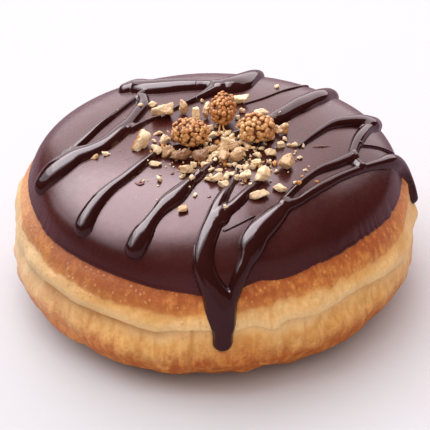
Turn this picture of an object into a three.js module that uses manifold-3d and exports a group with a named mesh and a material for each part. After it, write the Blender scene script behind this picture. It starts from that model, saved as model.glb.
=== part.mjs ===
// A boston cream doughnut: a soft filled bun, a dark chocolate glaze over its crown with piped
// chocolate strands on it, nut pieces scattered over the middle, and three dried mulberries.
// Millimetres, +Z up. The bun stands on z = 0 at the origin, and -Y is the front, where one
// thick strand runs down over the side.
//
// Every layer is first laid out flat, as on the skin of the doughnut peeled off and spread
// out: a point (x, y, h) lies |(x, y)| from the middle of the crown measured along the skin,
// and h above the skin. wrapOnDoughnut() then folds the flat shape round the doughnut.

import * as THREE from "three";
import { mergeVertices } from "three/addons/utils/BufferGeometryUtils.js";
import Module from "manifold-3d";

// ---- Driving dimensions, mm ----------------------------------------------------------

const WIDTH = 92; // across the widest level of the bun
const HEIGHT = 41.2; // table to the crown of the glaze
const WIDEST_LEVEL = 13; // height of the widest level
const BASE_RADIUS = 22.5; // flat underside
const CENTRE_X = -0.4; // where the crown lies, so that the whole is centred on the origin
const CENTRE_Y = 1.65;

const SHOULDER_POWER = 3.5; // how square the upper half is, across
const CROWN_POWER = 2.25; // how square the upper half is, upwards
const UNDERSIDE_POWER = 2.7; // how square the lower half is

const GLAZE_THICKNESS = 1.2;
const GLAZE_LIP = 0.7; // how far the thick edge of the glaze stands out
const FIT_GAP = 0.3; // between pieces that touch

const CREASE_DEPTH = 0.8; // the fold line round the side of the bun
const FRONT_FOLD_DEPTH = 1.3; // how much deeper it is at the front left
const CREASE_WIDTH = 1.3;

const AROUND = 76; // facets round the doughnut
const STRAND_SIDES = 7;
const STRAND_STEP = 3.3;

const rad = THREE.MathUtils.degToRad;

// ---- The outline of the doughnut -----------------------------------------------------

// Seen from above it is slightly oval, front left to back right, with three faint lobes.
function planFactor(angle) {
  const oval = 0.0177 * Math.cos(2 * (angle - rad(25)));
  const lobes = 0.0146 * Math.cos(3 * (angle - rad(20)));
  return 1 + oval + lobes;
}

// Distances from the crown along the skin: the rim of the glaze and the fold line.
function glazeRim(angle) {
  const droop = 0.55 * Math.cos(angle + rad(36)) + 0.88 * Math.cos(2 * angle - rad(108));
  const waves = 0.24 * Math.cos(7 * angle - rad(49)) + 0.36 * Math.cos(9 * angle - rad(139));
  return 47.2 + droop + waves;
}

function creaseLine(angle) {
  return 58.2 + Math.cos(angle - rad(14)) + 0.5 * Math.cos(13 * angle - rad(102));
}

// The meridian from the crown to the middle of the underside: two superellipse quarters and
// the flat base, each point with its distance along the curve.
function makeMeridian(steps) {
  const half = WIDTH / 2;
  const rise = HEIGHT - WIDEST_LEVEL;
  const path = [];
  for (let i = 0; i <= steps; i += 1) {
    const t = ((1 - i / steps) * Math.PI) / 2;
    const r = half * Math.cos(t) ** (2 / SHOULDER_POWER);
    const z = WIDEST_LEVEL + rise * Math.sin(t) ** (2 / CROWN_POWER);
    path.push({ r: i === 0 ? 0 : r, z });
  }
  for (let i = 1; i <= steps; i += 1) {
    const t = ((1 - i / steps) * Math.PI) / 2;
    const r = BASE_RADIUS + (half - BASE_RADIUS) * Math.sin(t) ** (2 / UNDERSIDE_POWER);
    const z = WIDEST_LEVEL * (1 - Math.cos(t) ** (2 / UNDERSIDE_POWER));
    path.push({ r, z: i === steps ? 0 : z });
  }
  path.push({ r: 0, z: 0 });
  path[0].s = 0;
  for (let i = 1; i < path.length; i += 1) {
    const [a, b] = [path[i - 1], path[i]];
    b.s = a.s + Math.hypot(b.r - a.r, b.z - a.z);
  }
  return path;
}

const meridian = makeMeridian(400);
const CENTRE_BELOW = meridian.at(-1).s;
const BASE_EDGE = meridian.at(-2).s;

// The point of the meridian at a distance s from the crown, with its outward normal.
function meridianAt(s) {
  let low = 0;
  let high = meridian.length - 1;
  while (high - low > 1) {
    const middle = (low + high) >> 1;
    if (meridian[middle].s <= s) low = middle;
    else high = middle;
  }
  const [a, b] = [meridian[low], meridian[high]];
  const part = Math.min(1, (s - a.s) / (b.s - a.s));
  const length = b.s - a.s;
  return {
    r: a.r + part * (b.r - a.r),
    z: a.z + part * (b.z - a.z),
    normalR: (a.z - b.z) / length,
    normalZ: (b.r - a.r) / length,
  };
}

function skinPoint(s, angle, height) {
  const m = meridianAt(s);
  const radius = m.r * planFactor(angle) + height * m.normalR;
  return new THREE.Vector3(
    radius * Math.cos(angle) + CENTRE_X,
    radius * Math.sin(angle) + CENTRE_Y,
    m.z + height * m.normalZ,
  );
}

// ---- Relief of the bun ---------------------------------------------------------------

// Under the glaze the bun lies lower by the thickness of the glaze and its gap.
function bunUnderGlaze(s, angle) {
  const rim = glazeRim(angle);
  const outside = THREE.MathUtils.smoothstep(s, rim - 4, rim - 0.5);
  return -(GLAZE_THICKNESS + FIT_GAP) * (1 - outside);
}

function bunRelief(s, angle) {
  const fromFrontLeft = Math.cos(angle - rad(222));
  const fold = FRONT_FOLD_DEPTH * Math.exp(6 * (fromFrontLeft - 1));
  const across = (s - creaseLine(angle)) / CREASE_WIDTH;
  const crease = -(CREASE_DEPTH + fold) * Math.exp(-across * across);
  const dents = 0.25 * Math.sin(5 * angle + s / 6) + 0.2 * Math.sin(11 * angle - s / 5);
  const side = THREE.MathUtils.smoothstep(s, 50, 56);
  const belly = side * (1 - THREE.MathUtils.smoothstep(s, 70, 84));
  return bunUnderGlaze(s, angle) + crease + dents * belly;
}

// ---- Shapes laid on the skin ---------------------------------------------------------

function keepPositions(geometry) {
  geometry.deleteAttribute("normal");
  geometry.deleteAttribute("uv");
  return geometry;
}

// Moves each vertex by a function of its place and merges the ones that then coincide.
function moveVertices(geometry, place) {
  const position = keepPositions(geometry).getAttribute("position");
  const vertex = new THREE.Vector3();
  for (let i = 0; i < position.count; i += 1) {
    place(vertex.fromBufferAttribute(position, i), i);
    position.setXYZ(i, vertex.x, vertex.y, vertex.z);
  }
  return mergeVertices(geometry, 1e-4);
}

function wrapOnDoughnut(vertex) {
  const s = Math.hypot(vertex.x, vertex.y);
  return vertex.copy(skinPoint(s, Math.atan2(vertex.y, vertex.x), vertex.z));
}

// A closed body of revolution whose profile is given as [station, layer] pairs, from the
// crown outwards. place(station, layer, angle) says where on the skin each vertex goes.
function layerAround(profile, place) {
  const outline = profile.map(([station], i) => new THREE.Vector2(station, i)).reverse();
  const lathe = new THREE.LatheGeometry(outline, AROUND);
  return moveVertices(lathe, (vertex) => {
    const [station, layer] = profile[Math.round(vertex.y)];
    const angle = Math.round((Math.atan2(vertex.x, vertex.z) / Math.PI / 2) * AROUND);
    const turn = (angle * 2 * Math.PI) / AROUND;
    const { s, height } = place(station, layer, turn);
    vertex.copy(skinPoint(s, turn, height));
  });
}

// ---- The bun -------------------------------------------------------------------------

// Stations 0-1 run from the crown to the rim of the glaze, 1-2 on to the fold line, 2-3 to
// the edge of the base and 3-4 to its middle.
function stationToSkin(station, angle) {
  const stops = [0, glazeRim(angle), creaseLine(angle), BASE_EDGE, CENTRE_BELOW];
  const stage = Math.min(3, Math.floor(station));
  return THREE.MathUtils.lerp(stops[stage], stops[stage + 1], station - stage);
}

const BUN_STATIONS = [
  0, 0.36, 0.62, 0.78, 0.88, 0.94, 0.985, 1.15, 1.4, 1.64, 1.82, 1.92, 2.0, 2.04, 2.08, 2.16,
  2.3, 2.46, 2.62, 2.78, 2.9, 3.0, 4.0,
];

function makeBun() {
  return layerAround(
    BUN_STATIONS.map((station) => [station, 0]),
    (station, layer, angle) => {
      const s = stationToSkin(station, angle);
      return { s, height: station >= 3 ? 0 : bunRelief(s, angle) };
    },
  );
}

// ---- The glaze -----------------------------------------------------------------------

const OUTSIDE = 1;
const INSIDE = 0;
const GLAZE_PROFILE = [
  [0, OUTSIDE], [0.2, OUTSIDE], [0.38, OUTSIDE], [0.54, OUTSIDE], [0.68, OUTSIDE],
  [0.79, OUTSIDE], [0.88, OUTSIDE], [0.95, OUTSIDE], [0.985, OUTSIDE], [1.0, 0.5],
  [0.985, INSIDE], [0.94, INSIDE], [0.88, INSIDE], [0.78, INSIDE], [0.62, INSIDE],
  [0.36, INSIDE], [0, INSIDE],
];

function makeGlazeCap() {
  return layerAround(GLAZE_PROFILE, (station, layer, angle) => {
    const s = station * glazeRim(angle);
    const inside = bunUnderGlaze(s, angle) + FIT_GAP;
    const lip = GLAZE_LIP * Math.exp(-(((station - 0.965) / 0.045) ** 2));
    const outside = Math.max(lip, inside + 0.6);
    return { s, height: THREE.MathUtils.lerp(inside, outside, layer) };
  });
}

// ---- The piped strands ---------------------------------------------------------------

// Each strand is a line of [x, y, half width] on the flat skin. -Y is the front.
const STRANDS = {
  leftUpper: [[-17.5, 17.5, 0.9], [-22, 11, 0.9], [-26, 5, 0.9], [-30, -1.5, 1.1], [-30.5, -5, 1.5],
    [-34, -7.5, 1.8], [-37.5, -9.5, 1.9], [-41, -12, 2]],
  leftLower: [[-14.5, 24, 1.4], [-15.5, 17, 1.2], [-17, 9.5, 1.2], [-21.5, 0.5, 1.2], [-26, -4.5, 1.3],
    [-30, -5.5, 1.5]],
  leftSpur: [[-13.5, 4.5, 0.5], [-17, 2.5, 0.7], [-20.5, -0.5, 1]],
  backEdge: [[-21.5, 27, 1.1], [-17.5, 28, 1.3], [-14.5, 25, 1.5], [-8, 26, 1.2], [-1.5, 24.5, 1.2],
    [3, 28, 1.2], [7, 33, 1.2], [11, 33, 1]],
  backSpur: [[1, 25, 1.1], [-2, 18.5, 0.8], [-6.5, 13, 0.7], [-9, 9.5, 0.4]],
  rightThick: [[13, 7.5, 1.3], [19.5, 14, 1.5], [24, 20, 1.5], [28.5, 28, 1.4], [31, 31, 1.3]],
  rightArch: [[19, -6, 0.7], [24, 1, 0.9], [28.5, 7.5, 1.1], [34, 14, 1.3], [38, 18, 1.8]],
  rightLink: [[37, 14, 1.3], [34, 5.5, 1.3], [32, -1.5, 1.2], [33, -8.5, 1.3]],
  rightUpper: [[31.5, -5, 0.9], [26.5, -10.5, 0.9], [22, -16, 0.9], [17.5, -23, 1]],
  rightLong: [[54, 5, 1.3], [49, 6.5, 1.5], [43.5, 4, 1.4], [37, -5.5, 1.4], [29, -14.5, 1.4],
    [22, -22, 1.4], [17, -27, 1.7], [13.5, -32, 1.9], [8.5, -40, 1.7], [5, -47.5, 1.5], [4, -51, 1.6]],
  frontLong: [[5.5, -16.5, 1], [3, -23, 1.2], [1.2, -30.5, 1.9], [-1.5, -36, 2.2], [-2, -41.5, 2.2],
    [0, -46, 2.3], [2.4, -50.5, 2.9], [3, -56, 3.2], [3.2, -60.5, 3.3]],
  frontFork: [[11, -19, 1], [6.5, -24, 1.2], [1.5, -30.5, 1.6]],
  leftInner: [[-12, -9, 1], [-18.5, -15.5, 1.1], [-24.5, -22, 1.3], [-29, -26.5, 1.9]],
  leftFront: [[-3, -17, 1.2], [-8.5, -25.5, 1.5], [-13.5, -32, 1.8], [-17, -36.5, 2.2]],
};

// How much narrower a width laid out flat becomes once it is folded round the side.
function shrinkAt(s) {
  return s < 20 ? 1 : meridianAt(s).r / s;
}

// Distances along a strand of the given length: close together at its rounded ends.
function strandStops(length, startWidth, endWidth) {
  const ends = [0, 0.3, 1];
  const middle = length - startWidth - endWidth;
  const count = Math.max(1, Math.round(middle / STRAND_STEP));
  const between = Array.from({ length: count - 1 }, (_, i) => startWidth + (middle * (i + 1)) / count);
  return [
    ...ends.map((part) => part * startWidth),
    ...between,
    ...ends.map((part) => length - part * endWidth).reverse(),
  ];
}

// A cylinder bent along the strand, with a rounded back, rounded ends and a flat foot.
function makeStrand(points) {
  const path = new THREE.CatmullRomCurve3(points.map(([x, y, w]) => new THREE.Vector3(x, y, w)));
  const length = path.getLength();
  const [startWidth, endWidth] = [points[0][2], points.at(-1)[2]];
  const stops = strandStops(length, startWidth, endWidth);
  const rows = stops.length - 1;
  const cylinder = new THREE.CylinderGeometry(1, 1, 1, STRAND_SIDES, rows);
  return moveVertices(cylinder, (vertex) => {
    const along = stops[Math.round((0.5 - vertex.y) * rows)];
    const at = path.getPointAt(along / length);
    const heading = path.getTangentAt(along / length);
    const side = new THREE.Vector2(-heading.y, heading.x).normalize();
    const halfWidth = at.z;
    const toEnd = Math.min(1, along / startWidth, (length - along) / endWidth);
    const roundEnd = Math.max(0.25, Math.sqrt(1 - (1 - toEnd) ** 2));
    const across = vertex.x * halfWidth * roundEnd;
    const s = Math.hypot(at.x, at.y);
    const foot = bunUnderGlaze(s + 1.5, Math.atan2(at.y, at.x)) + FIT_GAP + 0.15;
    const back = (0.35 + 0.55 * halfWidth * shrinkAt(s)) * roundEnd;
    const height = vertex.z > 0 ? Math.max(foot + 0.1, 0) + back * vertex.z : foot;
    vertex.set(at.x + side.x * across, at.y + side.y * across, height);
    wrapOnDoughnut(vertex);
  });
}

// ---- Nut pieces ----------------------------------------------------------------------

// The pieces large enough to stand out: [x, y, length, breadth, height, turn in degrees].
const NUTS = [
  [-11, 6, 5.2, 3.6, 3.2, 20], [-16, -6, 5.1, 3.4, 3.2, 65], [-6.5, 8, 2.4, 2, 2.4, 80],
  [-2, 8.3, 2.5, 2, 2, 0], [-8.5, 3.2, 2.8, 2, 1.6, 10], [-12.5, -2, 2.2, 1.6, 1.4, 0],
  [-11.4, -5.3, 2.4, 1.8, 2.4, 90], [-13, -10.8, 3, 2.2, 2.2, 100], [-13, -14.5, 2.8, 1.8, 1.6, 15],
  [-9.4, -12, 3, 2.6, 2.4, 60], [-5.8, -13.8, 4.6, 3, 2.8, 10], [-1.6, -12.8, 3.4, 2.4, 2.2, 170],
  [-6, -17, 2.8, 2.2, 1.8, 20], [0.4, -3.6, 2.8, 2, 1.8, 0], [1.8, -8.4, 3.6, 2.6, 2.4, 15],
  [2, -14.5, 3.2, 2.6, 2.2, 30], [5.8, -12.8, 3.5, 3, 2.8, 80], [6, 12.8, 3.7, 2.6, 2.2, 175],
  [9.6, 6.6, 3.2, 2, 1.8, 15], [15.2, 0.2, 3.7, 2.3, 2.2, 80], [13.2, -10.8, 2.6, 2, 1.6, 20],
  [16.5, -15, 4.2, 3.6, 3, 45], [9.8, -15.5, 2.2, 2.2, 1.8, 70], [11.4, -19.6, 4.2, 3, 2.6, 85],
  [7.6, -19, 2.5, 2, 1.6, 10], [0.2, -20, 2.8, 2, 1.8, 20], [3, -22.2, 2.6, 2, 1.6, 170],
  [10.8, -25.2, 3.2, 2.6, 2, 15], [15.2, -22.6, 3.2, 2, 1.6, 175], [-6.5, -29.5, 2.2, 1.6, 1.4, 10],
];

// Repeatable random numbers between 0 and 1.
function makeRandom(seed) {
  let state = seed;
  return () => {
    state = (state * 1664525 + 1013904223) % 4294967296;
    return state / 4294967296;
  };
}

// A broken nut piece: an icosahedron with its corners knocked in and out, on the skin.
function makeNut([x, y, length, breadth, height, turn], random) {
  const piece = new THREE.IcosahedronGeometry(0.5, 0);
  const rounded = mergeVertices(keepPositions(piece), 1e-4);
  return moveVertices(rounded, (vertex) => {
    vertex.multiplyScalar(0.85 + 0.35 * random());
    vertex.set(vertex.x * length, vertex.y * breadth, vertex.z * height);
    vertex.applyAxisAngle(new THREE.Vector3(0, 0, 1), rad(turn));
    vertex.add(new THREE.Vector3(x, y, 0.3 * height));
    wrapOnDoughnut(vertex);
  });
}

// ---- Dried mulberries ----------------------------------------------------------------

// Where each lies on the crown: [x, y, turn in degrees, length, breadth, height].
const MULBERRIES = [
  [-5.2, -7, -8, 8.6, 6.6, 6.2],
  [2.2, 3, 82, 8.2, 6, 6],
  [9.8, -5.4, 12, 8.6, 6.8, 6.2],
];
const HEAP_LIFT = 0.7; // they lie on the crumbs, not on the bare glaze
const DRUPELETS = 40;
const DRUPELET_RISE = 0.16; // of the local radius

// A lumpy oval: each vertex rises by how near it is to the middle of a drupelet. The
// middles follow a golden spiral.
function makeMulberry([x, y, turn, length, breadth, height]) {
  const middles = Array.from({ length: DRUPELETS }, (_, i) => {
    const up = 1 - (2 * (i + 0.5)) / DRUPELETS;
    const around = i * Math.PI * (3 - Math.sqrt(5));
    const out = Math.sqrt(1 - up * up);
    return new THREE.Vector3(up, out * Math.cos(around), out * Math.sin(around));
  });
  const reach = Math.sqrt(4 / DRUPELETS);
  return moveVertices(new THREE.IcosahedronGeometry(1, 4), (vertex) => {
    const direction = vertex.clone().normalize();
    const nearest = Math.min(...middles.map((middle) => middle.distanceTo(direction)));
    const dome = Math.sqrt(Math.max(0, 1 - (nearest / reach) ** 2));
    vertex.multiplyScalar(1 - DRUPELET_RISE * (1 - dome));
    vertex.set((vertex.x * length) / 2, (vertex.y * breadth) / 2, (vertex.z * height) / 2);
    vertex.applyAxisAngle(new THREE.Vector3(0, 0, 1), rad(turn));
    vertex.add(new THREE.Vector3(x + CENTRE_X, y + CENTRE_Y, HEIGHT + HEAP_LIFT + height / 2));
  });
}

// ---- Joining -------------------------------------------------------------------------

const wasm = await Module();
wasm.setup();

function toSolid(geometry) {
  return new wasm.Manifold(
    new wasm.Mesh({
      numProp: 3,
      vertProperties: geometry.getAttribute("position").array,
      triVerts: new Uint32Array(geometry.index.array),
    }),
  );
}

function toGeometry(solid) {
  const { vertProperties, triVerts } = solid.getMesh();
  const geometry = new THREE.BufferGeometry();
  geometry.setAttribute("position", new THREE.BufferAttribute(vertProperties, 3));
  geometry.setIndex(new THREE.BufferAttribute(triVerts, 1));
  return geometry;
}

function makeDressedGlaze() {
  const random = makeRandom(7);
  const strands = Object.values(STRANDS).map(makeStrand);
  const nuts = NUTS.map((nut) => makeNut(nut, random));
  const pieces = [makeGlazeCap(), ...strands, ...nuts].map(toSolid);
  return toGeometry(pieces.reduce((joined, piece) => joined.add(piece)));
}

// ---- The doughnut --------------------------------------------------------------------

function addPiece(group, name, geometry, colour, roughness) {
  const material = new THREE.MeshStandardMaterial({ color: colour, roughness, metalness: 0 });
  const mesh = new THREE.Mesh(geometry, material);
  mesh.name = name;
  group.add(mesh);
}

const group = new THREE.Group();
addPiece(group, "dough_bun", makeBun(), 0xc98a4e, 0.8);
addPiece(group, "chocolate_glaze", makeDressedGlaze(), 0x2a1210, 0.25);
MULBERRIES.forEach((berry, i) => {
  addPiece(group, `dried_mulberry_${i + 1}`, makeMulberry(berry), 0xc78a50, 0.7);
});

export default group;
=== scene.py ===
# %% [markdown]
# # A boston cream doughnut
# The model is a filled yeast bun that is fried on both sides, so it is brown above and below
# and pale round the side. Dark chocolate glaze covers the crown. Chocolate strands are piped
# over it, one of them long enough to run down the front, and chopped nuts and three dried
# mulberries lie in the middle.
#
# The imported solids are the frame: they give the place and size of everything here. Each
# visible piece is a fresh surface worked out with numpy and laid where its solid is.

# %% Load the frame
import math
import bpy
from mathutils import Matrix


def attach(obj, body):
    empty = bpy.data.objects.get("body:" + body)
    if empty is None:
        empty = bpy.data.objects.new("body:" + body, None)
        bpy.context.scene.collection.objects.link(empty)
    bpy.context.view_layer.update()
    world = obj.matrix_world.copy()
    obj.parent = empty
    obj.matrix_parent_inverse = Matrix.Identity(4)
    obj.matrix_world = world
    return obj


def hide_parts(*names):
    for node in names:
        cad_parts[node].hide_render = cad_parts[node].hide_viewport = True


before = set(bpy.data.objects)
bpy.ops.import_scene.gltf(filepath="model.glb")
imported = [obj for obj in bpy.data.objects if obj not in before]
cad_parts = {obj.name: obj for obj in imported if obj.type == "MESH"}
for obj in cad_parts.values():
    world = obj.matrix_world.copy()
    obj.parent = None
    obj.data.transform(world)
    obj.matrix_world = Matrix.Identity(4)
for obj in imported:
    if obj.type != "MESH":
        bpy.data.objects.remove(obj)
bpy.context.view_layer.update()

from types import SimpleNamespace

import bpy
import numpy as np
from mathutils import Vector

# %% [markdown]
# ## One skin for every layer
# Bun, glaze, strands and nuts all lie on the same rounded form. It helps to think of its skin
# as peeled off and spread out flat. A point (x, y, h) on that flat skin lies |(x, y)| from the
# middle of the crown, measured along the skin, and h above it. Every layer is designed flat,
# where a strand is a plain curve on paper, and one function folds it round the doughnut. All
# sizes are in millimetres until a mesh is made.

# %% Sizes of the doughnut
WIDTH = 92.0  # across the widest level of the bun
HEIGHT = 41.2  # table to the crown of the glaze
WIDEST_LEVEL = 13.0
BASE_RADIUS = 22.5
CROWN = np.array([-0.4, 1.65])  # where the crown lies, seen from above
SHOULDER_POWER = 3.5
CROWN_POWER = 2.25
UNDERSIDE_POWER = 2.7
GLAZE_THICKNESS = 1.2
MM = 0.001
print(f"bun {WIDTH:.0f} mm wide, glaze {HEIGHT} mm high at the crown")


# %% The meridian and the fold from flat skin to doughnut
def make_meridian(steps=1500):
    """Radius and height along the side, from the crown to the middle of the underside.

    Two superellipse quarters: r = R cos(t)^(2/p), z = level + rise sin(t)^(2/q), with the
    lower quarter ending on a flat base. Returns distance along the curve, radius, height.
    """
    t = np.linspace(np.pi / 2, 0, steps)
    half, rise = WIDTH / 2, HEIGHT - WIDEST_LEVEL
    upper_r = half * np.cos(t).clip(0) ** (2 / SHOULDER_POWER)
    upper_z = WIDEST_LEVEL + rise * np.sin(t) ** (2 / CROWN_POWER)
    lower_r = BASE_RADIUS + (half - BASE_RADIUS) * np.sin(t) ** (2 / UNDERSIDE_POWER)
    lower_z = WIDEST_LEVEL * (1 - np.cos(t).clip(0) ** (2 / UNDERSIDE_POWER))
    r = np.concatenate([upper_r, lower_r[1:], [0.0]])
    z = np.concatenate([upper_z, lower_z[1:], [0.0]])
    r[0] = 0.0
    z[-2:] = 0.0
    s = np.concatenate([[0.0], np.cumsum(np.hypot(np.diff(r), np.diff(z)))])
    return s, r, z


MERIDIAN = make_meridian()
CENTRE_BELOW = MERIDIAN[0][-1]
BASE_EDGE = MERIDIAN[0][-2]


def plan_factor(angle):
    """How far the outline bulges: 1 + a faint oval + three faint lobes."""
    oval = 0.0177 * np.cos(2 * (angle - np.radians(25)))
    lobes = 0.0146 * np.cos(3 * (angle - np.radians(20)))
    return 1 + oval + lobes


def on_skin(s, angle, height):
    """Points at distance s from the crown, at an angle, lifted along the normal by height."""
    table_s, table_r, table_z = MERIDIAN
    r = np.interp(s, table_s, table_r)
    z = np.interp(s, table_s, table_z)
    reach = 0.4
    dr = np.interp(s + reach, table_s, table_r) - np.interp(s - reach, table_s, table_r)
    dz = np.interp(s + reach, table_s, table_z) - np.interp(s - reach, table_s, table_z)
    length = np.hypot(dr, dz)
    radius = r * plan_factor(angle) - height * dz / length
    x = radius * np.cos(angle) + CROWN[0]
    y = radius * np.sin(angle) + CROWN[1]
    return np.stack([x, y, z + height * dr / length], axis=-1)


def fold_round(x, y, height):
    """The same for flat-skin coordinates: s = |(x, y)|, angle = the direction of (x, y)."""
    return on_skin(np.hypot(x, y), np.arctan2(y, x), height)


print(f"skin from crown to base edge: {BASE_EDGE:.1f} mm")


# %% [markdown]
# ## Lines on the skin
# Three uneven lines run round the side: the rim of the glaze, the border where the brown top
# crust gives way to pale crumb, and the fold line where the two halves of the bun meet. On the
# side that the photograph shows, each was read off as a distance from the crown at a number
# of compass points. The line runs through these readings and wanders on gently behind, where
# nothing is known.

# %% The rim, the crust border and the fold line
# (degrees, mm from the crown), with the front at 270.
RIM = [(20, 47.4), (50, 46.9), (85, 46.7), (115, 47.3), (145, 47.2), (175, 46.7), (196, 46.8),
       (203, 47), (210, 47.6), (217, 47.6), (227, 47.5), (239, 47.6), (247, 48), (253, 48.5),
       (261, 48.7), (268, 49.4), (275, 49.2), (280, 47.6), (284, 46.9), (290, 47.7), (296, 47.5),
       (301, 46.9), (311, 46.9), (322, 46.7), (330, 46.9), (339, 47.5), (352, 47.3)]
BORDER = [(10, 50.6), (50, 51.5), (90, 50.8), (130, 51.6), (165, 50.8), (188, 50.4), (192, 50.9),
          (196, 52.3), (201, 53), (206, 52.2), (211, 52), (218, 52.8), (225, 52.4), (232, 52.8),
          (238, 53.4), (250, 53.3), (255, 53.6), (261, 53.9), (265, 53.3), (268, 53), (272, 53.8),
          (279, 53.2), (285, 52.7), (286.3, 53.4), (289, 51.6), (293, 52.1), (296, 52.4),
          (301, 51.8), (304, 52.1), (305.6, 53.5), (307, 52.8), (309, 52), (314, 52.6),
          (317, 52.2), (323, 52.8), (331, 53.2), (339, 53), (346, 52.4), (350, 51.7), (354, 51)]
FOLD = [(10, 59.8), (50, 58.6), (90, 58.9), (130, 58.2), (165, 58.8), (190, 58.6), (203, 58.2),
        (209, 57.2), (217, 56.9), (220.5, 56.7), (223, 57.2), (226, 57.7), (232, 57.6),
        (238, 58.1), (243, 57.6), (248, 58.4), (252, 58.9), (254.5, 59.2), (257, 58.4),
        (260, 57.8), (265, 57.4), (270, 57.2), (276, 58.2), (282, 57.8), (284, 58.2),
        (286, 59.1), (288, 59.3), (291, 57.9), (296, 58.1), (302, 58.3), (307, 58.3),
        (312, 57.6), (319, 57.5), (326, 58.2), (331, 58.9), (336, 59.4), (345, 60.4)]
# How deep the fold is, in mm, at the same compass points.
TUCK = [(20, 0.6), (90, 0.7), (160, 0.6), (200, 0.5), (210, 0.8), (217, 1.4), (220.5, 2),
        (223, 1.2), (228, 1.5), (236, 1.4), (243, 1.4), (252, 1.1), (258, 0.8), (265, 0.6),
        (277, 0.45), (284, 0.5), (291, 0.75), (300, 0.65), (308, 0.8), (320, 0.8), (335, 0.9),
        (347, 0.8)]


# How brown (above 0) or pale (below 0) the dough is at the same compass points.
BROWNING = [(20, -0.15), (100, 0), (165, -0.5), (185, -0.9), (192, -0.85), (200, -0.45),
            (207, -0.15), (216, 0.3), (225, 0.5), (237, 0.6), (248, 0.4), (262, 0.15), (285, 0),
            (325, 0), (335, -0.1), (351, -0.3)]
# How much paler the side is there below the crust, and how much painted shade darkens the whole
# dough there.
PALENESS = [(20, 0.3), (100, 0), (165, 0.5), (185, 0.9), (192, 0.95), (200, 0.75), (207, 0.6),
            (216, 0.45), (225, 0.3), (237, 0.1), (248, 0), (325, 0), (335, 0.1), (351, 0.4)]
PAINTED_SIDE_SHADE = [(20, 0.1), (150, 0.05), (185, 0.12), (195, 0.2), (207, 0.3), (218, 0.25), (230, 0.16),
            (245, 0.08), (260, 0.02), (280, 0), (345, 0), (351, 0)]


def round_line(readings, soft=1.2):
    """A closed line through the readings: straight between them, then softened.

    The softening is a moving average with a bell-shaped weight of soft degrees.
    """
    angles, values = np.array(readings, dtype=float).T
    fine = np.arange(0, 360, 0.25)
    line = np.interp(fine, angles, values, period=360)
    shift = np.minimum(fine, 360 - fine)
    weight = np.exp(-((shift / soft) ** 2))
    return np.real(np.fft.ifft(np.fft.fft(line) * np.fft.fft(weight / weight.sum())))


TONE_SOFTNESS = 4  # degrees; colour changes more slowly along the side than the lines do
LINES = {"rim": round_line(RIM), "border": round_line(BORDER, 0.6), "fold": round_line(FOLD, 0.9),
         "tuck": round_line(TUCK), "browning": round_line(BROWNING, TONE_SOFTNESS),
         "paleness": round_line(PALENESS, TONE_SOFTNESS),
         "tone_and_painted_shade": round_line(PAINTED_SIDE_SHADE, TONE_SOFTNESS)}
for name, line in LINES.items():
    print(f"{name}: {line.min():.2f} to {line.max():.2f}")


def line_at(name, angle):
    """The value of a line at angles in radians."""
    return np.interp(np.degrees(angle), np.arange(0, 360, 0.25), LINES[name], period=360)


def glaze_rim(angle):
    return line_at("rim", angle)


def waves(angle, terms):
    """Sum of amplitude x cos(count x angle - phase in degrees)."""
    total = np.zeros_like(angle)
    for amplitude, count, phase in terms:
        total = total + amplitude * np.cos(count * angle - np.radians(phase))
    return total


def crust_border(angle):
    """The border, with notches too fine to read off one by one."""
    notches = [(0.1, 61, 80), (0.09, 83, 10), (0.07, 117, 200)]
    return line_at("border", angle) + waves(angle, notches)


def fold_line(angle):
    return line_at("fold", angle)


def smooth(low, high, value):
    """0 below low, 1 above high, and the S-curve 3t^2 - 2t^3 between."""
    t = np.clip((value - low) / (high - low), 0, 1)
    return t * t * (3 - 2 * t)


def bump(value, centre, width):
    """A bell curve of height 1."""
    return np.exp(-(((value - centre) / width) ** 2))


def ripple(points, wavelength, seed, count=20):
    """Smooth noise of about unit height: cosines in random directions, summed."""
    rng = np.random.default_rng(seed)
    direction = rng.normal(size=(count, 3))
    direction /= np.linalg.norm(direction, axis=1, keepdims=True)
    stretch = rng.uniform(0.7, 1.4, count)
    phase = rng.uniform(0, 2 * np.pi, count)
    total = np.zeros(points.shape[:-1])
    for k in range(count):
        along = points @ (direction[k] * stretch[k] * 2 * np.pi / wavelength)
        total += np.cos(along + phase[k])
    return total * math.sqrt(2 / count) * 0.7


# %% [markdown]
# ## From arrays to meshes
# Blender takes a mesh as flat arrays: corner positions, the corners of each face, and where
# each face starts. `foreach_set` copies a whole array in one go, which is far quicker than
# adding faces one by one. A grid that closes round a circle simply reuses its first column.

# %% Mesh helpers
def make_piece(name, points, faces, smooth_faces=True, attributes=None):
    """A mesh object at the origin from points in mm and an (n, 3 or 4) array of faces."""
    points = np.asarray(points, dtype=np.float64).reshape(-1, 3)
    faces = np.asarray(faces, dtype=np.int32)
    sides = faces.shape[1]
    mesh = bpy.data.meshes.new(name)
    mesh.vertices.add(len(points))
    mesh.vertices.foreach_set("co", (points * MM).ravel())
    mesh.loops.add(faces.size)
    mesh.loops.foreach_set("vertex_index", faces.ravel())
    mesh.polygons.add(len(faces))
    mesh.polygons.foreach_set("loop_start", np.arange(0, faces.size, sides, dtype=np.int32))
    mesh.polygons.foreach_set("use_smooth", np.full(len(faces), smooth_faces))
    for key, values in (attributes or {}).items():
        layer = mesh.attributes.new(key, "FLOAT", "POINT")
        layer.data.foreach_set("value", np.asarray(values, dtype=np.float32).ravel())
    mesh.update()
    mesh.validate()
    piece = bpy.data.objects.new(name, mesh)
    bpy.context.collection.objects.link(piece)
    print(f"{name}: {len(points)} points, {len(faces) * (sides - 2)} triangles")
    return piece


def ring_faces(rows, columns):
    """Quads between neighbouring rings of points, with the last column joined to the first."""
    row, column = np.meshgrid(np.arange(rows - 1), np.arange(columns), indexing="ij")
    after = (column + 1) % columns
    a, b = row * columns + column, row * columns + after
    return np.stack([a, a + columns, b + columns, b], axis=-1).reshape(-1, 4)


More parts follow.
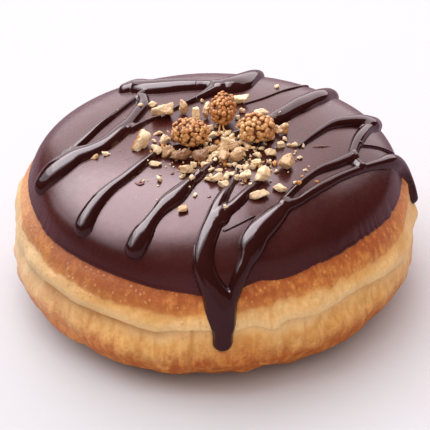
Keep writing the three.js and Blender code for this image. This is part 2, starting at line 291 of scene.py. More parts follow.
def closed_layer(name, s, height, angle, attributes=None):
    """A body of rings from pole to pole. s and height are (rows, columns) arrays.

    The first and last rows are single points: each pole is one corner that a fan of
    triangles shares.
    """
    points = on_skin(s, angle, height)
    points[..., 2] = points[..., 2].clip(0)  # nothing reaches below what it stands on
    rows, columns = s.shape
    inner = points[1:-1].reshape(-1, 3)
    top, bottom = len(inner), len(inner) + 1
    all_points = np.concatenate([inner, points[:1, 0], points[-1:, 0]])
    quads = ring_faces(rows - 2, columns)
    ring = np.arange(columns)
    after = (ring + 1) % columns
    last = (rows - 3) * columns
    top_fan = np.stack([np.full(columns, top), ring, after], axis=1)
    bottom_fan = np.stack([np.full(columns, bottom), last + after, last + ring], axis=1)
    triangles = np.concatenate([quads[:, [0, 1, 2]], quads[:, [0, 2, 3]], top_fan, bottom_fan])
    per_point = {}
    for key, values in (attributes or {}).items():
        per_point[key] = np.concatenate([values[1:-1].ravel(), [values[0, 0], values[-1, 0]]])
    return make_piece(name, all_points, triangles, attributes=per_point)


# %% [markdown]
# ## Camera, floor and light
# The photograph looks down on the doughnut at about 33 degrees through a long lens, so the
# far side is hardly smaller than the near one. A window of three soft boxes stands behind and
# above on the left: it paints the broad pale reflection on the glaze, bright in its middle and
# fading to its edges. A backdrop behind edges the far strands with light, and a fill in front
# keeps the side of the bun from going dark. A dim low card and a darker ground show only in
# the gloss, so the lower glaze stays as deep as it is in the photograph.

# %% Camera
ELEVATION = math.radians(32.9)
DISTANCE = 600.0
AIM_LEVEL = 20.0  # height of the point that the camera circles
AIM_RIGHT, AIM_UP = 0.43, -1.39  # small shifts that centre the picture
FOCAL_PIXELS = 2599.0
PHOTO_SIDE = 430
SENSOR = 36.0


def place_camera():
    """Looks at a point inside the bun from the photograph's side and height."""
    right = np.array([1.0, 0.0, 0.0])
    up = np.array([0.0, math.sin(ELEVATION), math.cos(ELEVATION)])
    back = np.array([0.0, -math.cos(ELEVATION), math.sin(ELEVATION)])
    target = np.array([CROWN[0], CROWN[1], AIM_LEVEL]) + AIM_RIGHT * right + AIM_UP * up
    data = bpy.data.cameras.new("camera")
    data.sensor_width = SENSOR
    data.lens = FOCAL_PIXELS * SENSOR / PHOTO_SIDE
    data.clip_start = 0.05
    data.clip_end = 20
    camera = bpy.data.objects.new("camera", data)
    camera.location = (target + DISTANCE * back) * MM
    camera.rotation_euler = (math.pi / 2 - ELEVATION, 0, 0)
    bpy.context.collection.objects.link(camera)
    bpy.context.scene.camera = camera
    return camera


camera = place_camera()
print("camera at", tuple(round(v, 3) for v in camera.location))


# %% Colour helper and floor
def srgb(red, green, blue):
    """A screen colour, 0-255, as the linear colour that shaders work in."""
    linear = []
    for value in (red / 255, green / 255, blue / 255):
        linear.append(value / 12.92 if value <= 0.04045 else ((value + 0.055) / 1.055) ** 2.4)
    return (*linear, 1.0)


def new_material(name):
    """A material with its node tree and its shader node."""
    material = bpy.data.materials.new(name)
    material.use_nodes = True
    tree = material.node_tree
    return material, tree, tree.nodes["Principled BSDF"]


FLOOR_REACH = 3000.0
floor = make_piece(
    "floor",
    [(-FLOOR_REACH, -FLOOR_REACH, 0), (FLOOR_REACH, -FLOOR_REACH, 0),
     (FLOOR_REACH, FLOOR_REACH, 0), (-FLOOR_REACH, FLOOR_REACH, 0)],
    [(0, 1, 2, 3)],
    smooth_faces=False,
)
floor_material, _, floor_shader = new_material("pale_floor")
floor_shader.inputs["Base Color"].default_value = srgb(201, 202, 206)
floor_shader.inputs["Roughness"].default_value = 0.9
floor_shader.inputs["Specular IOR Level"].default_value = 0.1
floor.data.materials.append(floor_material)

# Glossy chocolate mirrors a much dimmer ground in the photograph, so it sees this darker disc
# instead of the floor.
ring = np.radians(np.arange(0, 360, 7.5))
dim_ground = make_piece(
    "dim_ground", np.stack([900 * np.cos(ring), 900 * np.sin(ring), 0 * ring + 0.02], axis=-1),
    [range(len(ring))], smooth_faces=False,
)
dim_material, _, dim_shader = new_material("dim_ground")
dim_shader.inputs["Base Color"].default_value = srgb(138, 114, 128)
dim_shader.inputs["Roughness"].default_value = 1.0
dim_ground.data.materials.append(dim_material)
floor.visible_glossy = False
dim_ground.visible_camera = dim_ground.visible_diffuse = dim_ground.visible_shadow = False


# %% Lights
def soft_box(name, azimuth, elevation, size, radiance, colour=(1.0, 1.0, 1.0), roll=0.0):
    """A rectangular area light 3 m away in a compass direction, facing the doughnut.

    size is (sideways, upward) in metres. A light of area A with radiance L takes the power
    pi A L. The roll turns it about its own axis.
    """
    data = bpy.data.lights.new(name, "AREA")
    data.shape = "RECTANGLE"
    data.size, data.size_y = size
    data.energy = math.pi * size[0] * size[1] * radiance
    data.color = colour
    light = bpy.data.objects.new(name, data)
    az, el = math.radians(azimuth), math.radians(elevation)
    place = Vector((math.cos(el) * math.cos(az), math.cos(el) * math.sin(az), math.sin(el))) * 3
    light.location = place
    light.rotation_euler = place.to_track_quat("Z", "Y").to_euler()
    light.rotation_euler.rotate_axis("Z", math.radians(roll))
    bpy.context.collection.objects.link(light)
    print(f"{name}: {data.energy:.0f} W")
    return light


# Three boxes in the same window: one lights everything, and two smaller ones are seen only by
# glossy surfaces, so that the reflection fades from a bright middle to its edges.
soft_box("key", 157, 57, (4.2, 3.4), 2.2, (0.93, 1.0, 1.06), roll=-58)
glow = soft_box("glow", 134, 60, (3.7, 3.0), 4.6, (1.0, 0.98, 1.0), roll=-40)
core = soft_box("core", 131, 62, (2.7, 2.4), 3.6, (1.0, 0.98, 1.0), roll=-38)
glow.visible_diffuse = core.visible_diffuse = False
soft_box("backdrop", 85, 26, (4.2, 3.0), 2.4, (1.0, 0.87, 0.9))

# In front stand a fill, which the gloss doesn't show, and a dim low card, which only it shows.
fill = soft_box("fill", 272, 58, (4.0, 3.0), 0.98, (1.0, 0.89, 0.85))
fill.visible_glossy = False
card = soft_box("front_card", 292, 7, (6.5, 1.5), 0.42, (1.0, 0.62, 0.68))
card.visible_diffuse = False

# The world fills the shadows with warm light but isn't mirrored in the glaze.
world = bpy.data.worlds.new("studio")
bpy.context.scene.world = world
world.use_nodes = True
sky_light = world.node_tree.nodes["Background"]
sky_light.inputs["Color"].default_value = (1.0, 0.86, 0.82, 1)
sky_light.inputs["Strength"].default_value = 0.6
world.cycles_visibility.glossy = False
bpy.context.scene.view_settings.view_transform = "Standard"

# %% [markdown]
# ## The bun
# A fried bun is two swollen halves with a fold where they meet. The relief is a height above
# the skin: the bun dips under the glaze by its thickness, the crust ends in a slight step,
# the crumb is drawn into soft upright wrinkles, and at the fold the upper half hangs over the
# lower one. That overhang is a step: it drops within half a millimetre and climbs back slowly
# further down. A height map on a fine grid is enough, since the photograph shows no deeper
# undercut.

# %% Relief of the bun
def degrees_from(angle, compass):
    """Signed difference in degrees between an angle in radians and a compass point."""
    return (np.degrees(angle) - compass + 180) % 360 - 180


MM_PER_DEGREE = 0.8  # round the side of the bun


def bun_dip(s, angle):
    """Height of the bun under the glaze, and of the shallow trough just past its rim."""
    rim = glaze_rim(angle)
    near_rim = smooth(rim - 3, rim - 0.3, s)
    return -GLAZE_THICKNESS * (1 - near_rim) - 0.5 * near_rim * (1 - smooth(rim, rim + 3.5, s))


# Upright puckers in the side: (degrees, top and bottom distance from the crown, depth).
PUCKERS = [(263.8, 57, 71, 0.28), (266.5, 54, 58, 0.14), (262.3, 54, 58, 0.16), (254, 59, 64, 0.14),
           (249.5, 59, 68, 0.14), (286.6, 53, 60, 0.16), (297, 59, 66, 0.2), (279, 59, 63, 0.12),
           (244, 58, 66, 0.12), (233, 58, 66, 0.16), (226, 56, 64, 0.12), (308, 54, 58, 0.12),
           (316, 53, 58, 0.14), (324, 58, 64, 0.14), (215, 54, 58, 0.12), (239, 53, 57, 0.1)]


def puckers(s, angle):
    """Narrow upright grooves, each fading out at its ends."""
    total = np.zeros_like(s)
    for compass, top, bottom, depth in PUCKERS:
        lean = (s - (top + bottom) / 2) * 0.08
        across = degrees_from(angle, compass) * MM_PER_DEGREE + lean
        ends = smooth(top - 1, top + 1, s) * (1 - smooth(bottom - 2, bottom + 1, s))
        total = total + depth * bump(across, 0, 0.5) * ends
    return total


def bun_relief(s, angle):
    """Height of the bun above the skin: dip, step, overhang, puckers, and slow swellings."""
    place = on_skin(s, angle, np.zeros_like(s))
    past_border = s - crust_border(angle)
    past_fold = s - fold_line(angle)
    tuck = line_at("tuck", angle)
    border_step = -0.2 * smooth(-0.3, 0.6, past_border) * (1 - smooth(4, 9, past_fold))
    inside = past_fold.clip(0)
    # The upper half hangs over: full depth within half a millimetre, then a slow recovery.
    recovery = np.exp(-((inside / 3.2) ** 1.6))
    overhang = smooth(-0.55, 0.15, past_fold) * recovery
    roll = (0.22 + 0.3 * tuck) * bump(past_fold, -2.2, 1.6)
    lower_roll = 0.3 * tuck * bump(past_fold, 5.5, 2.6)
    side = smooth(50, 54, s) * (1 - smooth(BASE_EDGE - 12, BASE_EDGE - 2, s))
    slow = 0.3 * ripple(place, 17, 3) + 0.22 * ripple(place, 7, 4)
    pillows = 0.36 * ripple(place * np.array([1, 1, 0.4]), 10, 9) * bump(past_fold, 1, 8)
    round_side = np.broadcast_to(degrees_from(angle, 270) * MM_PER_DEGREE, s.shape)
    upright = ripple(np.stack([round_side, s * 0.16, s * 0], -1), 3.2, 5)
    streaks = ripple(np.stack([round_side, s * 0.25, s * 0], -1), 1.3, 8)
    crumb = smooth(0, 1, past_border) * (1 - smooth(3, 8, past_fold))
    fine = 0.03 * ripple(place, 1.6, 6) + 0.05 * ripple(place, 3.1, 7)
    wrinkles = (0.08 * upright + 0.03 * streaks) * crumb
    return (bun_dip(s, angle) + border_step - tuck * overhang - puckers(s, angle)
            + (roll + lower_roll + slow + pillows + wrinkles + fine) * side)


BUN_COLUMNS = 440
bun_angle = np.linspace(0, 2 * np.pi, BUN_COLUMNS, endpoint=False)[None, :]
bun_rows = np.concatenate([
    np.linspace(0, 42, 9)[:-1],
    np.linspace(42, 50, 24)[:-1],
    np.linspace(50, 64, 108)[:-1],
    np.linspace(64, BASE_EDGE, 76)[:-1],
    [BASE_EDGE, BASE_EDGE + 4, CENTRE_BELOW],
])
bun_s = np.repeat(bun_rows[:, None], BUN_COLUMNS, axis=1)
bun_height = bun_relief(bun_s, bun_angle)
bun_height[bun_rows >= BASE_EDGE] = 0.0  # the base is flat
# Kept with the points for the colour. Beside browning and paleness they set painted shade: on the
# side, in the fold by its depth, and in the puckers.
bun_values = {name: line_at(name, bun_angle) + 0 * bun_s
              for name in ("browning", "paleness", "tone_and_painted_shade", "tuck")}
bun_values["past_border"] = bun_s - crust_border(bun_angle)
bun_values["past_fold"] = bun_s - fold_line(bun_angle)
# The puckers' depth, kept for the painted shade in them.
bun_values["pucker"] = puckers(bun_s, bun_angle)
bun = closed_layer("bun", bun_s, bun_height, bun_angle, bun_values)

# %% [markdown]
# ## Node helpers
# Materials are small trees of nodes. Writing each link by hand hides what a tree does, so a
# few helpers build one node, set its values, and take either a number or another node's
# output for each input.

# %% Node helpers
class Shade:
    """Short words for building one material's node tree."""

    def __init__(self, name):
        self.material, self.tree, self.shader = new_material(name)

    def node(self, kind, values=None, **settings):
        node = self.tree.nodes.new(kind)
        for key, value in settings.items():
            setattr(node, key, value)
        for key, value in (values or {}).items():
            self.feed(node.inputs[key], value)
        return node

    def feed(self, socket, value):
        if isinstance(value, bpy.types.NodeSocket):
            self.tree.links.new(value, socket)
        else:
            socket.default_value = value

    def finish(self, values):
        """Sets the shader's own inputs and hands over the material."""
        for key, value in values.items():
            self.feed(self.shader.inputs[key], value)
        print("material", self.material.name, "with", len(self.tree.nodes), "nodes")
        return self.material

    def position(self):
        return self.node("ShaderNodeTexCoord").outputs["Object"]

    def stretched(self, vector, scale):
        """Coordinates scaled along x, y and z. A small factor draws the pattern out."""
        return self.node("ShaderNodeMapping", {"Vector": vector, "Scale": scale}).outputs[0]

    def attribute(self, key):
        return self.node("ShaderNodeAttribute", attribute_name=key).outputs["Fac"]

    def noise(self, scale, detail, vector):
        values = {"Vector": vector, "Scale": scale, "Detail": detail, "Roughness": 0.55}
        return self.node("ShaderNodeTexNoise", values).outputs["Fac"]

    def cells(self, scale, vector, channel=0):
        """Distance from the middle of each cell of a random pattern, and its random number."""
        cells = self.node("ShaderNodeTexVoronoi", {"Vector": vector, "Scale": scale})
        number = self.node("ShaderNodeSeparateColor", {"Color": cells.outputs["Color"]})
        return cells.outputs["Distance"], number.outputs[channel]

    def range(self, value, low, high, out_low=0.0, out_high=1.0):
        """An S-curve from out_low at low to out_high at high."""
        values = {"Value": value, "From Min": low, "From Max": high,
                  "To Min": out_low, "To Max": out_high}
        node = self.node("ShaderNodeMapRange", values, interpolation_type="SMOOTHSTEP")
        return node.outputs["Result"]

    def math(self, operation, a, b=0.0):
        node = self.node("ShaderNodeMath", operation=operation)
        self.feed(node.inputs[0], a)
        self.feed(node.inputs[1], b)
        return node.outputs[0]

    def times(self, a, b):
        return self.math("MULTIPLY", a, b)

    def jitter(self, value, noise, size):
        """value + (noise - 1/2) size, which makes a border ragged."""
        return self.math("ADD", value, self.times(self.math("SUBTRACT", noise, 0.5), size))

    def mix(self, share, a, b):
        node = self.node("ShaderNodeMix", data_type="RGBA")
        self.feed(node.inputs[0], share)
        self.feed(node.inputs[6], a)
        self.feed(node.inputs[7], b)
        return node.outputs[2]

    def two_tone(self, pattern, low, high, a, b):
        """Screen colour a where the pattern is below low, b where it is above high."""
        return self.mix(self.range(pattern, low, high), srgb(*a), srgb(*b))

    def painted(self, colour, *coats):
        """Coats of (share, strength, screen colour) laid over a colour, one after another."""
        for share, strength, coat in coats:
            colour = self.mix(self.times(share, strength), colour, srgb(*coat))
        return colour

    def bump(self, height, distance, strength, normal=None):
        values = {"Height": height, "Distance": distance, "Strength": strength}
        if normal is not None:
            values["Normal"] = normal
        return self.node("ShaderNodeBump", values).outputs["Normal"]


def dress(piece, node, material):
    """Gives a piece its finish, hides the solid that it stands for, and hangs it on the root that
    it moves with.
    """
    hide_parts(node)
    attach(piece, "root")
    piece.data.materials.append(material)


# %% [markdown]
# ## The colour of fried dough
# Hot fat browns the two faces of the bun and leaves the side pale. The mesh carries two
# distances, from the crust border and from the fold, so the browning can follow the real
# lines. Noise shifts them, so that the border is ragged. No bun browns evenly all round, so
# three more values, read at compass points like the lines, say how brown and how pale each
# part of the side is, and how much painted shade darkens it. Painted shade also darkens the
# fold and the puckers, and together with a stain from the glaze the crust just under the rim.
# Small round pale blisters sit in the brown crust, and light sinks a little way into the dough.

# %% What the dough's colours follow
def dough_maps(shade):
    """The noises, and the distances and tones stored with the points."""
    where = shade.position()
    upright = shade.stretched(where, (1, 1, 0.35))
    browning = shade.attribute("browning")
    return SimpleNamespace(
        where=where,
        broad=shade.noise(85, 2, where),
        medium=shade.noise(330, 4, where),
        fine=shade.noise(1500, 3, where),
        blotch=shade.noise(620, 3, upright),
        streak=shade.noise(900, 3, upright),
        past_border=shade.attribute("past_border"),
        past_fold=shade.attribute("past_fold"),
        browned=shade.math("MAXIMUM", browning, 0.0),
        unbrowned=shade.math("MAXIMUM", shade.times(browning, -1.0), 0.0),
        pale_side=shade.attribute("paleness"),
    )


def blisters(shade, maps):
    """Small round blisters: the middles of the cells, faint in most of them."""
    distance, number = shade.cells(1000, shade.stretched(maps.where, (1, 1, 0.7)))
    return shade.times(shade.range(distance, 0.42, 0.12), shade.range(number, 0.3, 0.9))


def flakes(shade, maps):
    """Dry flakes, flat and wide, in a few cells low on the side."""
    flat = shade.stretched(maps.where, (0.45, 0.45, 1))
    distance, number = shade.cells(420, flat, channel=1)
    flake = shade.times(shade.range(distance, 0.26, 0.12), shade.range(number, 0.78, 0.95))
    return shade.times(flake, shade.range(maps.past_fold, 6.0, 9.0))


# %% The dough's four colours
def crust_colour(shade, maps, blister):
    """Brown top crust with blisters, golden by the crumb, darker under the glaze: a stain and
    painted shade.
    """
    near_rim = shade.range(maps.past_border, -2.2, -5.0)
    near_crumb = shade.range(shade.jitter(maps.past_border, maps.broad, 2.5), -3.0, 0.0)
    return shade.painted(
        shade.two_tone(maps.blotch, 0.36, 0.66, (166, 86, 30), (216, 142, 64)),
        (shade.range(maps.medium, 0.42, 0.68), 1, (178, 92, 32)),
        # Painted shade under the glaze lip, together with a stain from the glaze.
        (near_rim, 0.5, (156, 70, 24)),
        (near_crumb, 0.45, (222, 154, 72)),
        (maps.browned, 0.8, (150, 72, 18)),
        (maps.unbrowned, 0.6, (232, 180, 134)),
        (blister, 0.5, (232, 172, 100)),
    )


def crumb_colour(shade, maps):
    """Pale crumb round the side, streaked upright and palest just above the fold."""
    near_crust = shade.range(shade.jitter(maps.past_border, maps.medium, 2.2), 2.0, 0.2)
    near_fold = shade.range(shade.jitter(maps.past_fold, maps.broad, 3.0), -3.6, -1.0)
    return shade.painted(
        shade.two_tone(maps.streak, 0.35, 0.65, (224, 178, 112), (236, 196, 132)),
        (shade.range(maps.broad, 0.42, 0.65), 1, (218, 164, 84)),
        (near_crust, 0.6, (218, 154, 70)),
        (maps.browned, 0.6, (202, 140, 70)),
        (near_fold, 0.75, (238, 204, 146)),
        (maps.pale_side, 0.6, (230, 206, 166)),
    )


def lower_colour(shade, maps):
    """Golden dough below the fold."""
    return shade.painted(
        shade.two_tone(maps.blotch, 0.35, 0.65, (214, 158, 82), (230, 180, 108)),
        (shade.range(maps.broad, 0.5, 0.68), 0.7, (206, 140, 64)),
        (shade.range(maps.medium, 0.5, 0.74), 0.6, (204, 138, 64)),
        (maps.pale_side, 0.9, (226, 194, 154)),
    )


def base_colour(shade, maps):
    """The brown lower crust."""
    return shade.painted(
        shade.two_tone(maps.blotch, 0.35, 0.65, (182, 96, 30), (214, 140, 60)),
        (shade.range(maps.medium, 0.5, 0.72), 1, (176, 86, 26)),
        (maps.pale_side, 0.6, (226, 172, 136)),
    )


# %% Dough material
def dough_material():
    """Each colour gives way to the next down the side; then marks and painted shade are laid over
    them all.
    """
    shade = Shade("fried_dough")
    maps = dough_maps(shade)
    blister, flake = blisters(shade, maps), flakes(shade, maps)
    border = shade.jitter(maps.past_border, maps.medium, 1.4)
    below = shade.jitter(shade.jitter(maps.past_fold, maps.broad, 7.0), maps.medium, 2.0)
    colour = shade.mix(shade.range(border, -0.5, 0.6), crust_colour(shade, maps, blister),
                       crumb_colour(shade, maps))
    colour = shade.mix(shade.range(below, -1.0, 3.5), colour, lower_colour(shade, maps))
    colour = shade.mix(shade.range(below, 3.5, 10.0), colour, base_colour(shade, maps))

    # Painted shade in the fold, deeper where the fold tucks in further.
    fold_shade_share = shade.times(shade.range(maps.past_fold, -0.5, 0.05),
                          shade.range(maps.past_fold, 2.4, 0.2))
    fold_shade_depth = shade.range(shade.attribute("tuck"), 0.4, 1.6, 0.1, 0.7)
    brown_part = shade.math("MAXIMUM", shade.range(border, 0.5, -0.5, 0.25),
                            shade.range(below, 2.0, 8.0))
    colour = shade.painted(
        colour,
        (fold_shade_share, fold_shade_depth, (190, 130, 54)),
        # Painted shade in the upright puckers.
        (shade.range(shade.attribute("pucker"), 0.03, 0.2), 0.5, (198, 134, 62)),
        (flake, 0.7, (236, 184, 128)),
        (shade.range(maps.fine, 0.42, 0.66, 0.0, 0.34), brown_part, (150, 80, 36)),
        # Painted shade on the side, strongest at the left front, fading out below the fold.
        (shade.attribute("tone_and_painted_shade"), shade.range(maps.past_fold, 8.0, -1.0), (112, 84, 60)),
    )
    grain = shade.math("ADD", shade.times(maps.fine, 0.6), maps.blotch)
    normal = shade.bump(grain, 0.00035, 0.55)
    return shade.finish({
        "Base Color": colour,
        "Roughness": 0.5,
        "Specular IOR Level": 0.4,
        "Subsurface Weight": 0.3,
        "Subsurface Radius": (1.0, 0.5, 0.22),
        "Subsurface Scale": 0.0016,
        "Normal": shade.bump(shade.math("ADD", blister, flake), 0.0003, 0.5, normal),
    })


dress(bun, "dough_bun", dough_material())

# %% [markdown]
# ## The glaze
# Warm glaze flows down from the crown, swells into a shoulder and ends at a steep thin rim.
# The body is made of rings: out along the top, round the rim and back underneath. Where it
# cooled while it was still creeping, the rim is drawn into fine upright ridges, most at the
# right and left front. Its gloss is soft, and a few small reddish pimples stand in it, each
# the middle of a rare cell of a random pattern.

# %% Glaze body
LIP_HEIGHT = 0.9  # how far the shoulder swells
LIP_TURN = 0.75  # how far before the rim the lip starts to turn under
LIP_FOOT = -0.62  # where the lip ends, below the skin
UNDER_GAP = 0.12  # between the underside of the glaze and the bun
RIM_MM_PER_DEGREE = 0.78
GLAZE_COLUMNS = 960


def ridge_strength(angle):
    """Where the rim is wrinkled: strong at the right front and the left, faint elsewhere."""
    right_front = bump(degrees_from(angle, 328), 0, 24)
    left = bump(degrees_from(angle, 200), 0, 22)
    return 0.12 + right_front + 0.4 * left


def ridges(angle):
    """Uneven ridges about 1.2 mm apart along the rim."""
    zero = np.zeros_like(angle)
    along = np.stack([np.degrees(angle) * RIM_MM_PER_DEGREE, zero, zero], -1)
    return ripple(along, 1.5, 21) + 0.5 * ripple(along, 3.4, 22)


def glaze_top(s, angle):
    """Height of the glaze above the skin: level, with slow dents, swelling into the lip."""
    to_rim = glaze_rim(angle) - s
    place = on_skin(s, angle, np.zeros_like(s))
    shoulder = LIP_HEIGHT * np.where(to_rim > 6, bump(to_rim, 6, 11), 1)
    lip = shoulder - 1.25 * smooth(6.5, -1.0, to_rim) ** 1.15
    wrinkle = 0.05 * ridge_strength(angle) * ridges(angle) * bump(to_rim, 0.8, 2.2)
    dents = 0.07 * ripple(place, 22, 11)
    return lip + wrinkle + dents


def glaze_rings(angle):
    """Distance and height of every ring: out along the top, round the lip, back beneath.

    The lip is half an oval: s = edge + turn sin(u), while the height sinks from the top's
    edge to the foot as (1 + cos(u)) / 2.
    """
    rim = glaze_rim(angle) + 0.13 * ridge_strength(angle) * ridges(angle)
    edge = rim - LIP_TURN
    share = np.concatenate([np.linspace(0, 0.8, 30)[:-1], np.linspace(0.8, 1, 44)])[:, None]
    top_s = share * edge
    top_height = glaze_top(top_s, np.broadcast_to(angle, top_s.shape))
    u = np.linspace(0, np.pi, 12)[1:][:, None]
    lip_s = edge + LIP_TURN * np.sin(u)
    lip_height = LIP_FOOT + (top_height[-1:] - LIP_FOOT) * (1 + np.cos(u)) / 2
    back_s = np.array([0.97, 0.93, 0.87, 0.75, 0.55, 0.3, 0.0])[:, None] * edge
    back_height = bun_dip(back_s, angle) - UNDER_GAP
    return (np.concatenate([top_s, lip_s, back_s]),
            np.concatenate([top_height, lip_height, back_height]))


glaze_angle = np.linspace(0, 2 * np.pi, GLAZE_COLUMNS, endpoint=False)[None, :]
glaze_s, glaze_height = glaze_rings(glaze_angle)
glaze = closed_layer("glaze", glaze_s, glaze_height, glaze_angle)


# %% Glaze material
def chocolate_material(name, roughness, colour, tint, pimples=0.0):
    """Dark, glossy and slightly cloudy, with as many small reddish pimples as asked for."""
    shade = Shade(name)
    where = shade.position()
    darker = tuple(0.8 * v for v in colour[:3]) + (1,)
    cloudy = shade.mix(shade.range(shade.noise(60, 3, where), 0.3, 0.7), colour, darker)
    distance, number = shade.cells(170, where)
    pimple = shade.times(shade.range(distance, 0.075, 0.03),
                         shade.range(number, 0.66, 0.74, 0.0, pimples))
    smear = shade.range(shade.noise(500, 4, where), 0.2, 0.8, 0.9 * roughness, 1.12 * roughness)
    normal = shade.bump(shade.noise(900, 3, where), 0.00005, 0.25)
    return shade.finish({
        "Base Color": shade.painted(cloudy, (pimple, 1, (128, 58, 40))),
        "Roughness": smear,
        "IOR": 1.5,
        "Specular Tint": tint,
        "Normal": shade.bump(pimple, 0.0002, 0.6, normal),
    })


glaze_material = chocolate_material("dark_glaze", 0.27, srgb(66, 24, 21), (1, 0.82, 0.86, 1),
                                    pimples=0.7)
dress(glaze, "chocolate_glaze", glaze_material)

# %% [markdown]
# ## The piped strands
# A thin strand of melted chocolate is round on top, spreads where it crosses another one, and
# ends in a bead. Swept tubes would cut hard lines where they meet. Instead the strands are
# one height map on the flat skin: each strand gives a rounded ridge over its line, and a
# smooth maximum melts the ridges together. Only the part just above and below the glaze is
# kept and closed underneath, so the edge of a strand is a crisp line where it meets the
# glaze. The strands run on under the nuts, where the photograph shows them come out again on
# the far side of the heap.

# %% The lines of the strands
# Each strand is a line of (x, y, half width) on the flat skin. -Y is the front.
STRANDS = {
    "left_upper": [(-16.5, 18.5, 1.2), (-18.5, 15, 1), (-22.5, 8.5, 1.1), (-25.5, 4.5, 1.4),
                   (-28.5, 0, 1.4), (-31, -3, 1.5), (-33, -5, 1.9)],
    "left_lower": [(-16.3, 15.8, 1.6), (-15.9, 12, 1.7), (-17, 8.5, 1.8), (-19, 3.5, 1.9),
                   (-21, 0, 2.3), (-24, -4, 2.5), (-27.5, -6, 2.7), (-31, -6.7, 3.4),
                   (-34, -8.2, 3.8), (-37, -9.7, 3.8), (-39.5, -11, 3.1)],
    "left_spur": [(-12, 6, 0.45), (-15, 4, 0.8), (-16.5, 2.5, 1), (-18.5, 0.5, 1.2)],
    "left_inner": [(-12.5, -9.5, 1.3), (-15.5, -13.5, 1.45), (-19, -17.5, 1.7),
                   (-22.5, -20.5, 1.85), (-25, -23, 2.1), (-27, -25.5, 2.5),
                   (-28.3, -27.3, 2.85), (-29, -28.5, 2.9)],
    "left_front": [(-3, -18.5, 1.4), (-5, -21, 1.8), (-8, -25, 2.5), (-10, -27, 2.4),
                   (-12, -29.5, 2), (-14, -32.3, 2.1), (-15.5, -34.5, 2.7), (-17, -37, 2.9)],
    "front_long": [(5.5, -16.5, 0.95), (4, -22, 0.95), (2.5, -25, 1.4), (1, -29, 2),
                   (0, -33, 2.4), (-1.5, -37.5, 2.5), (-2.2, -41.5, 2.6), (-1.5, -45, 2.9),
                   (0, -48, 3.6), (1.7, -51, 4.1), (2.5, -54, 3.75), (2.8, -57, 3.5),
                   (2.8, -60.2, 3.35)],
    "front_hair": [(2.5, -35.1, 0.3), (5.7, -33.4, 0.38), (9.1, -31.3, 0.3)],
    "front_fork": [(11, -17.5, 1.1), (10, -21, 0.95), (8, -24, 1.25), (5, -28, 1.65),
                   (3, -30, 1.9), (1.5, -32, 2.4)],
    "right_long": [(54.5, 4.5, 1.9), (49, 5.5, 2.1), (45, 3.5, 2.2), (41.5, 0, 2.2),
                   (38.5, -4, 1.6), (36, -7, 1.3), (32, -11.5, 1.2), (28, -16, 1.3),
                   (25.5, -19, 1.45), (21, -24, 1.3), (19, -26, 1.3), (16, -28, 1.9),
                   (14, -30.5, 2.7), (12, -33, 3.1), (10, -35.5, 3.2), (8.8, -38, 3.2),
                   (8.3, -40, 2.6), (7.5, -42, 2), (6.5, -44.5, 2.1), (5.5, -47.5, 2),
                   (4.5, -51, 1.7)],
    "right_upper": [(31.5, -6.5, 1.6), (28, -10.5, 1.4), (24, -14.5, 1.1), (21, -18.5, 1),
                    (18, -23, 1), (15.5, -27, 1.2)],
    "right_link": [(36.5, 12, 2), (34.5, 7.5, 1.65), (32.5, 1, 1.5), (31.5, -5, 1.4),
                   (32, -7.5, 1.4), (33, -9, 1.6)],
    "right_arch": [(19.5, -6, 0.7), (23, 0, 1.1), (26.5, 5, 1.5), (30, 8, 2.1), (34, 11, 2.8),
                   (36, 13, 2.8), (38, 16.5, 2.2)],
    "right_branch": [(33, -1, 0.55), (37.5, 1.7, 0.5), (42, 4, 0.6)],
    "under_heap": [(-12.5, -9.5, 1.1), (-8, -7.5, 0.9), (-2, -5.5, 0.9), (4, -2.5, 1.1),
                   (9, 0.5, 1.6), (12, 3, 2.2)],
    "under_heap_front": [(-3, -18.5, 1.3), (-0.5, -15, 1), (3, -11, 0.8), (6.5, -7.5, 0.8)],
    "under_heap_middle": [(5.5, -16.5, 0.95), (7, -12.5, 0.8), (9.5, -7, 0.9), (11.5, -2, 1)],
    "under_heap_right": [(11, -17.5, 1.1), (12.5, -13.5, 0.8), (14, -9, 0.7)],
    "right_hair": [(7.5, 12, 0.3), (11.5, 15, 0.38), (16, 20, 0.4), (19, 23.5, 0.4),
                   (22.5, 29, 0.4)],
    "right_thick": [(12, 3, 2.4), (14, 5, 2.5), (17.5, 9.5, 2.7), (20, 13, 2.8), (24, 19, 2.8),
                    (27, 25, 2.2), (29, 29, 1.6)],
    "back_edge": [(-20.3, 23.6, 2.4), (-18, 24, 3.3), (-15.5, 22, 3.8), (-12, 21.5, 3.8),
                  (-8, 21.7, 2.9), (-4, 21.8, 2.5), (-1, 21.7, 2.5), (2, 20.8, 3.4), (5, 22, 3.8),
                  (7, 25, 3.4), (9, 29, 2.7), (10.8, 33.5, 1.9)],
    "back_spur": [(1, 19.5, 2.4), (-2, 16.3, 1.5), (-4, 14.4, 1.15), (-6.5, 12, 0.85),
                  (-9, 9.5, 0.6), (-11, 8, 0.5)],
}
print(len(STRANDS), "lines of piped chocolate")


def smooth_curve(points, step):
    """Catmull-Rom through the points, sampled every step or so.

    Between points 1 and 2 it is 1/2 [2 p1 + (p2 - p0) t + (2 p0 - 5 p1 + 4 p2 - p3) t^2
    + (3 p1 - p0 - 3 p2 + p3) t^3].
    """
    p = np.asarray(points, dtype=float)
    p = np.concatenate([[2 * p[0] - p[1]], p, [2 * p[-1] - p[-2]]])
    pieces = []
    for p0, p1, p2, p3 in zip(p[:-3], p[1:-2], p[2:-1], p[3:]):
        count = max(2, int(np.linalg.norm((p2 - p1)[:2]) / step))
        t = np.linspace(0, 1, count, endpoint=False)[:, None]
        pieces.append(0.5 * (2 * p1 + (p2 - p0) * t + (2 * p0 - 5 * p1 + 4 * p2 - p3) * t**2
                             + (3 * p1 - p0 - 3 * p2 + p3) * t**3))
    pieces.append(p[-2:-1])
    return np.concatenate(pieces)


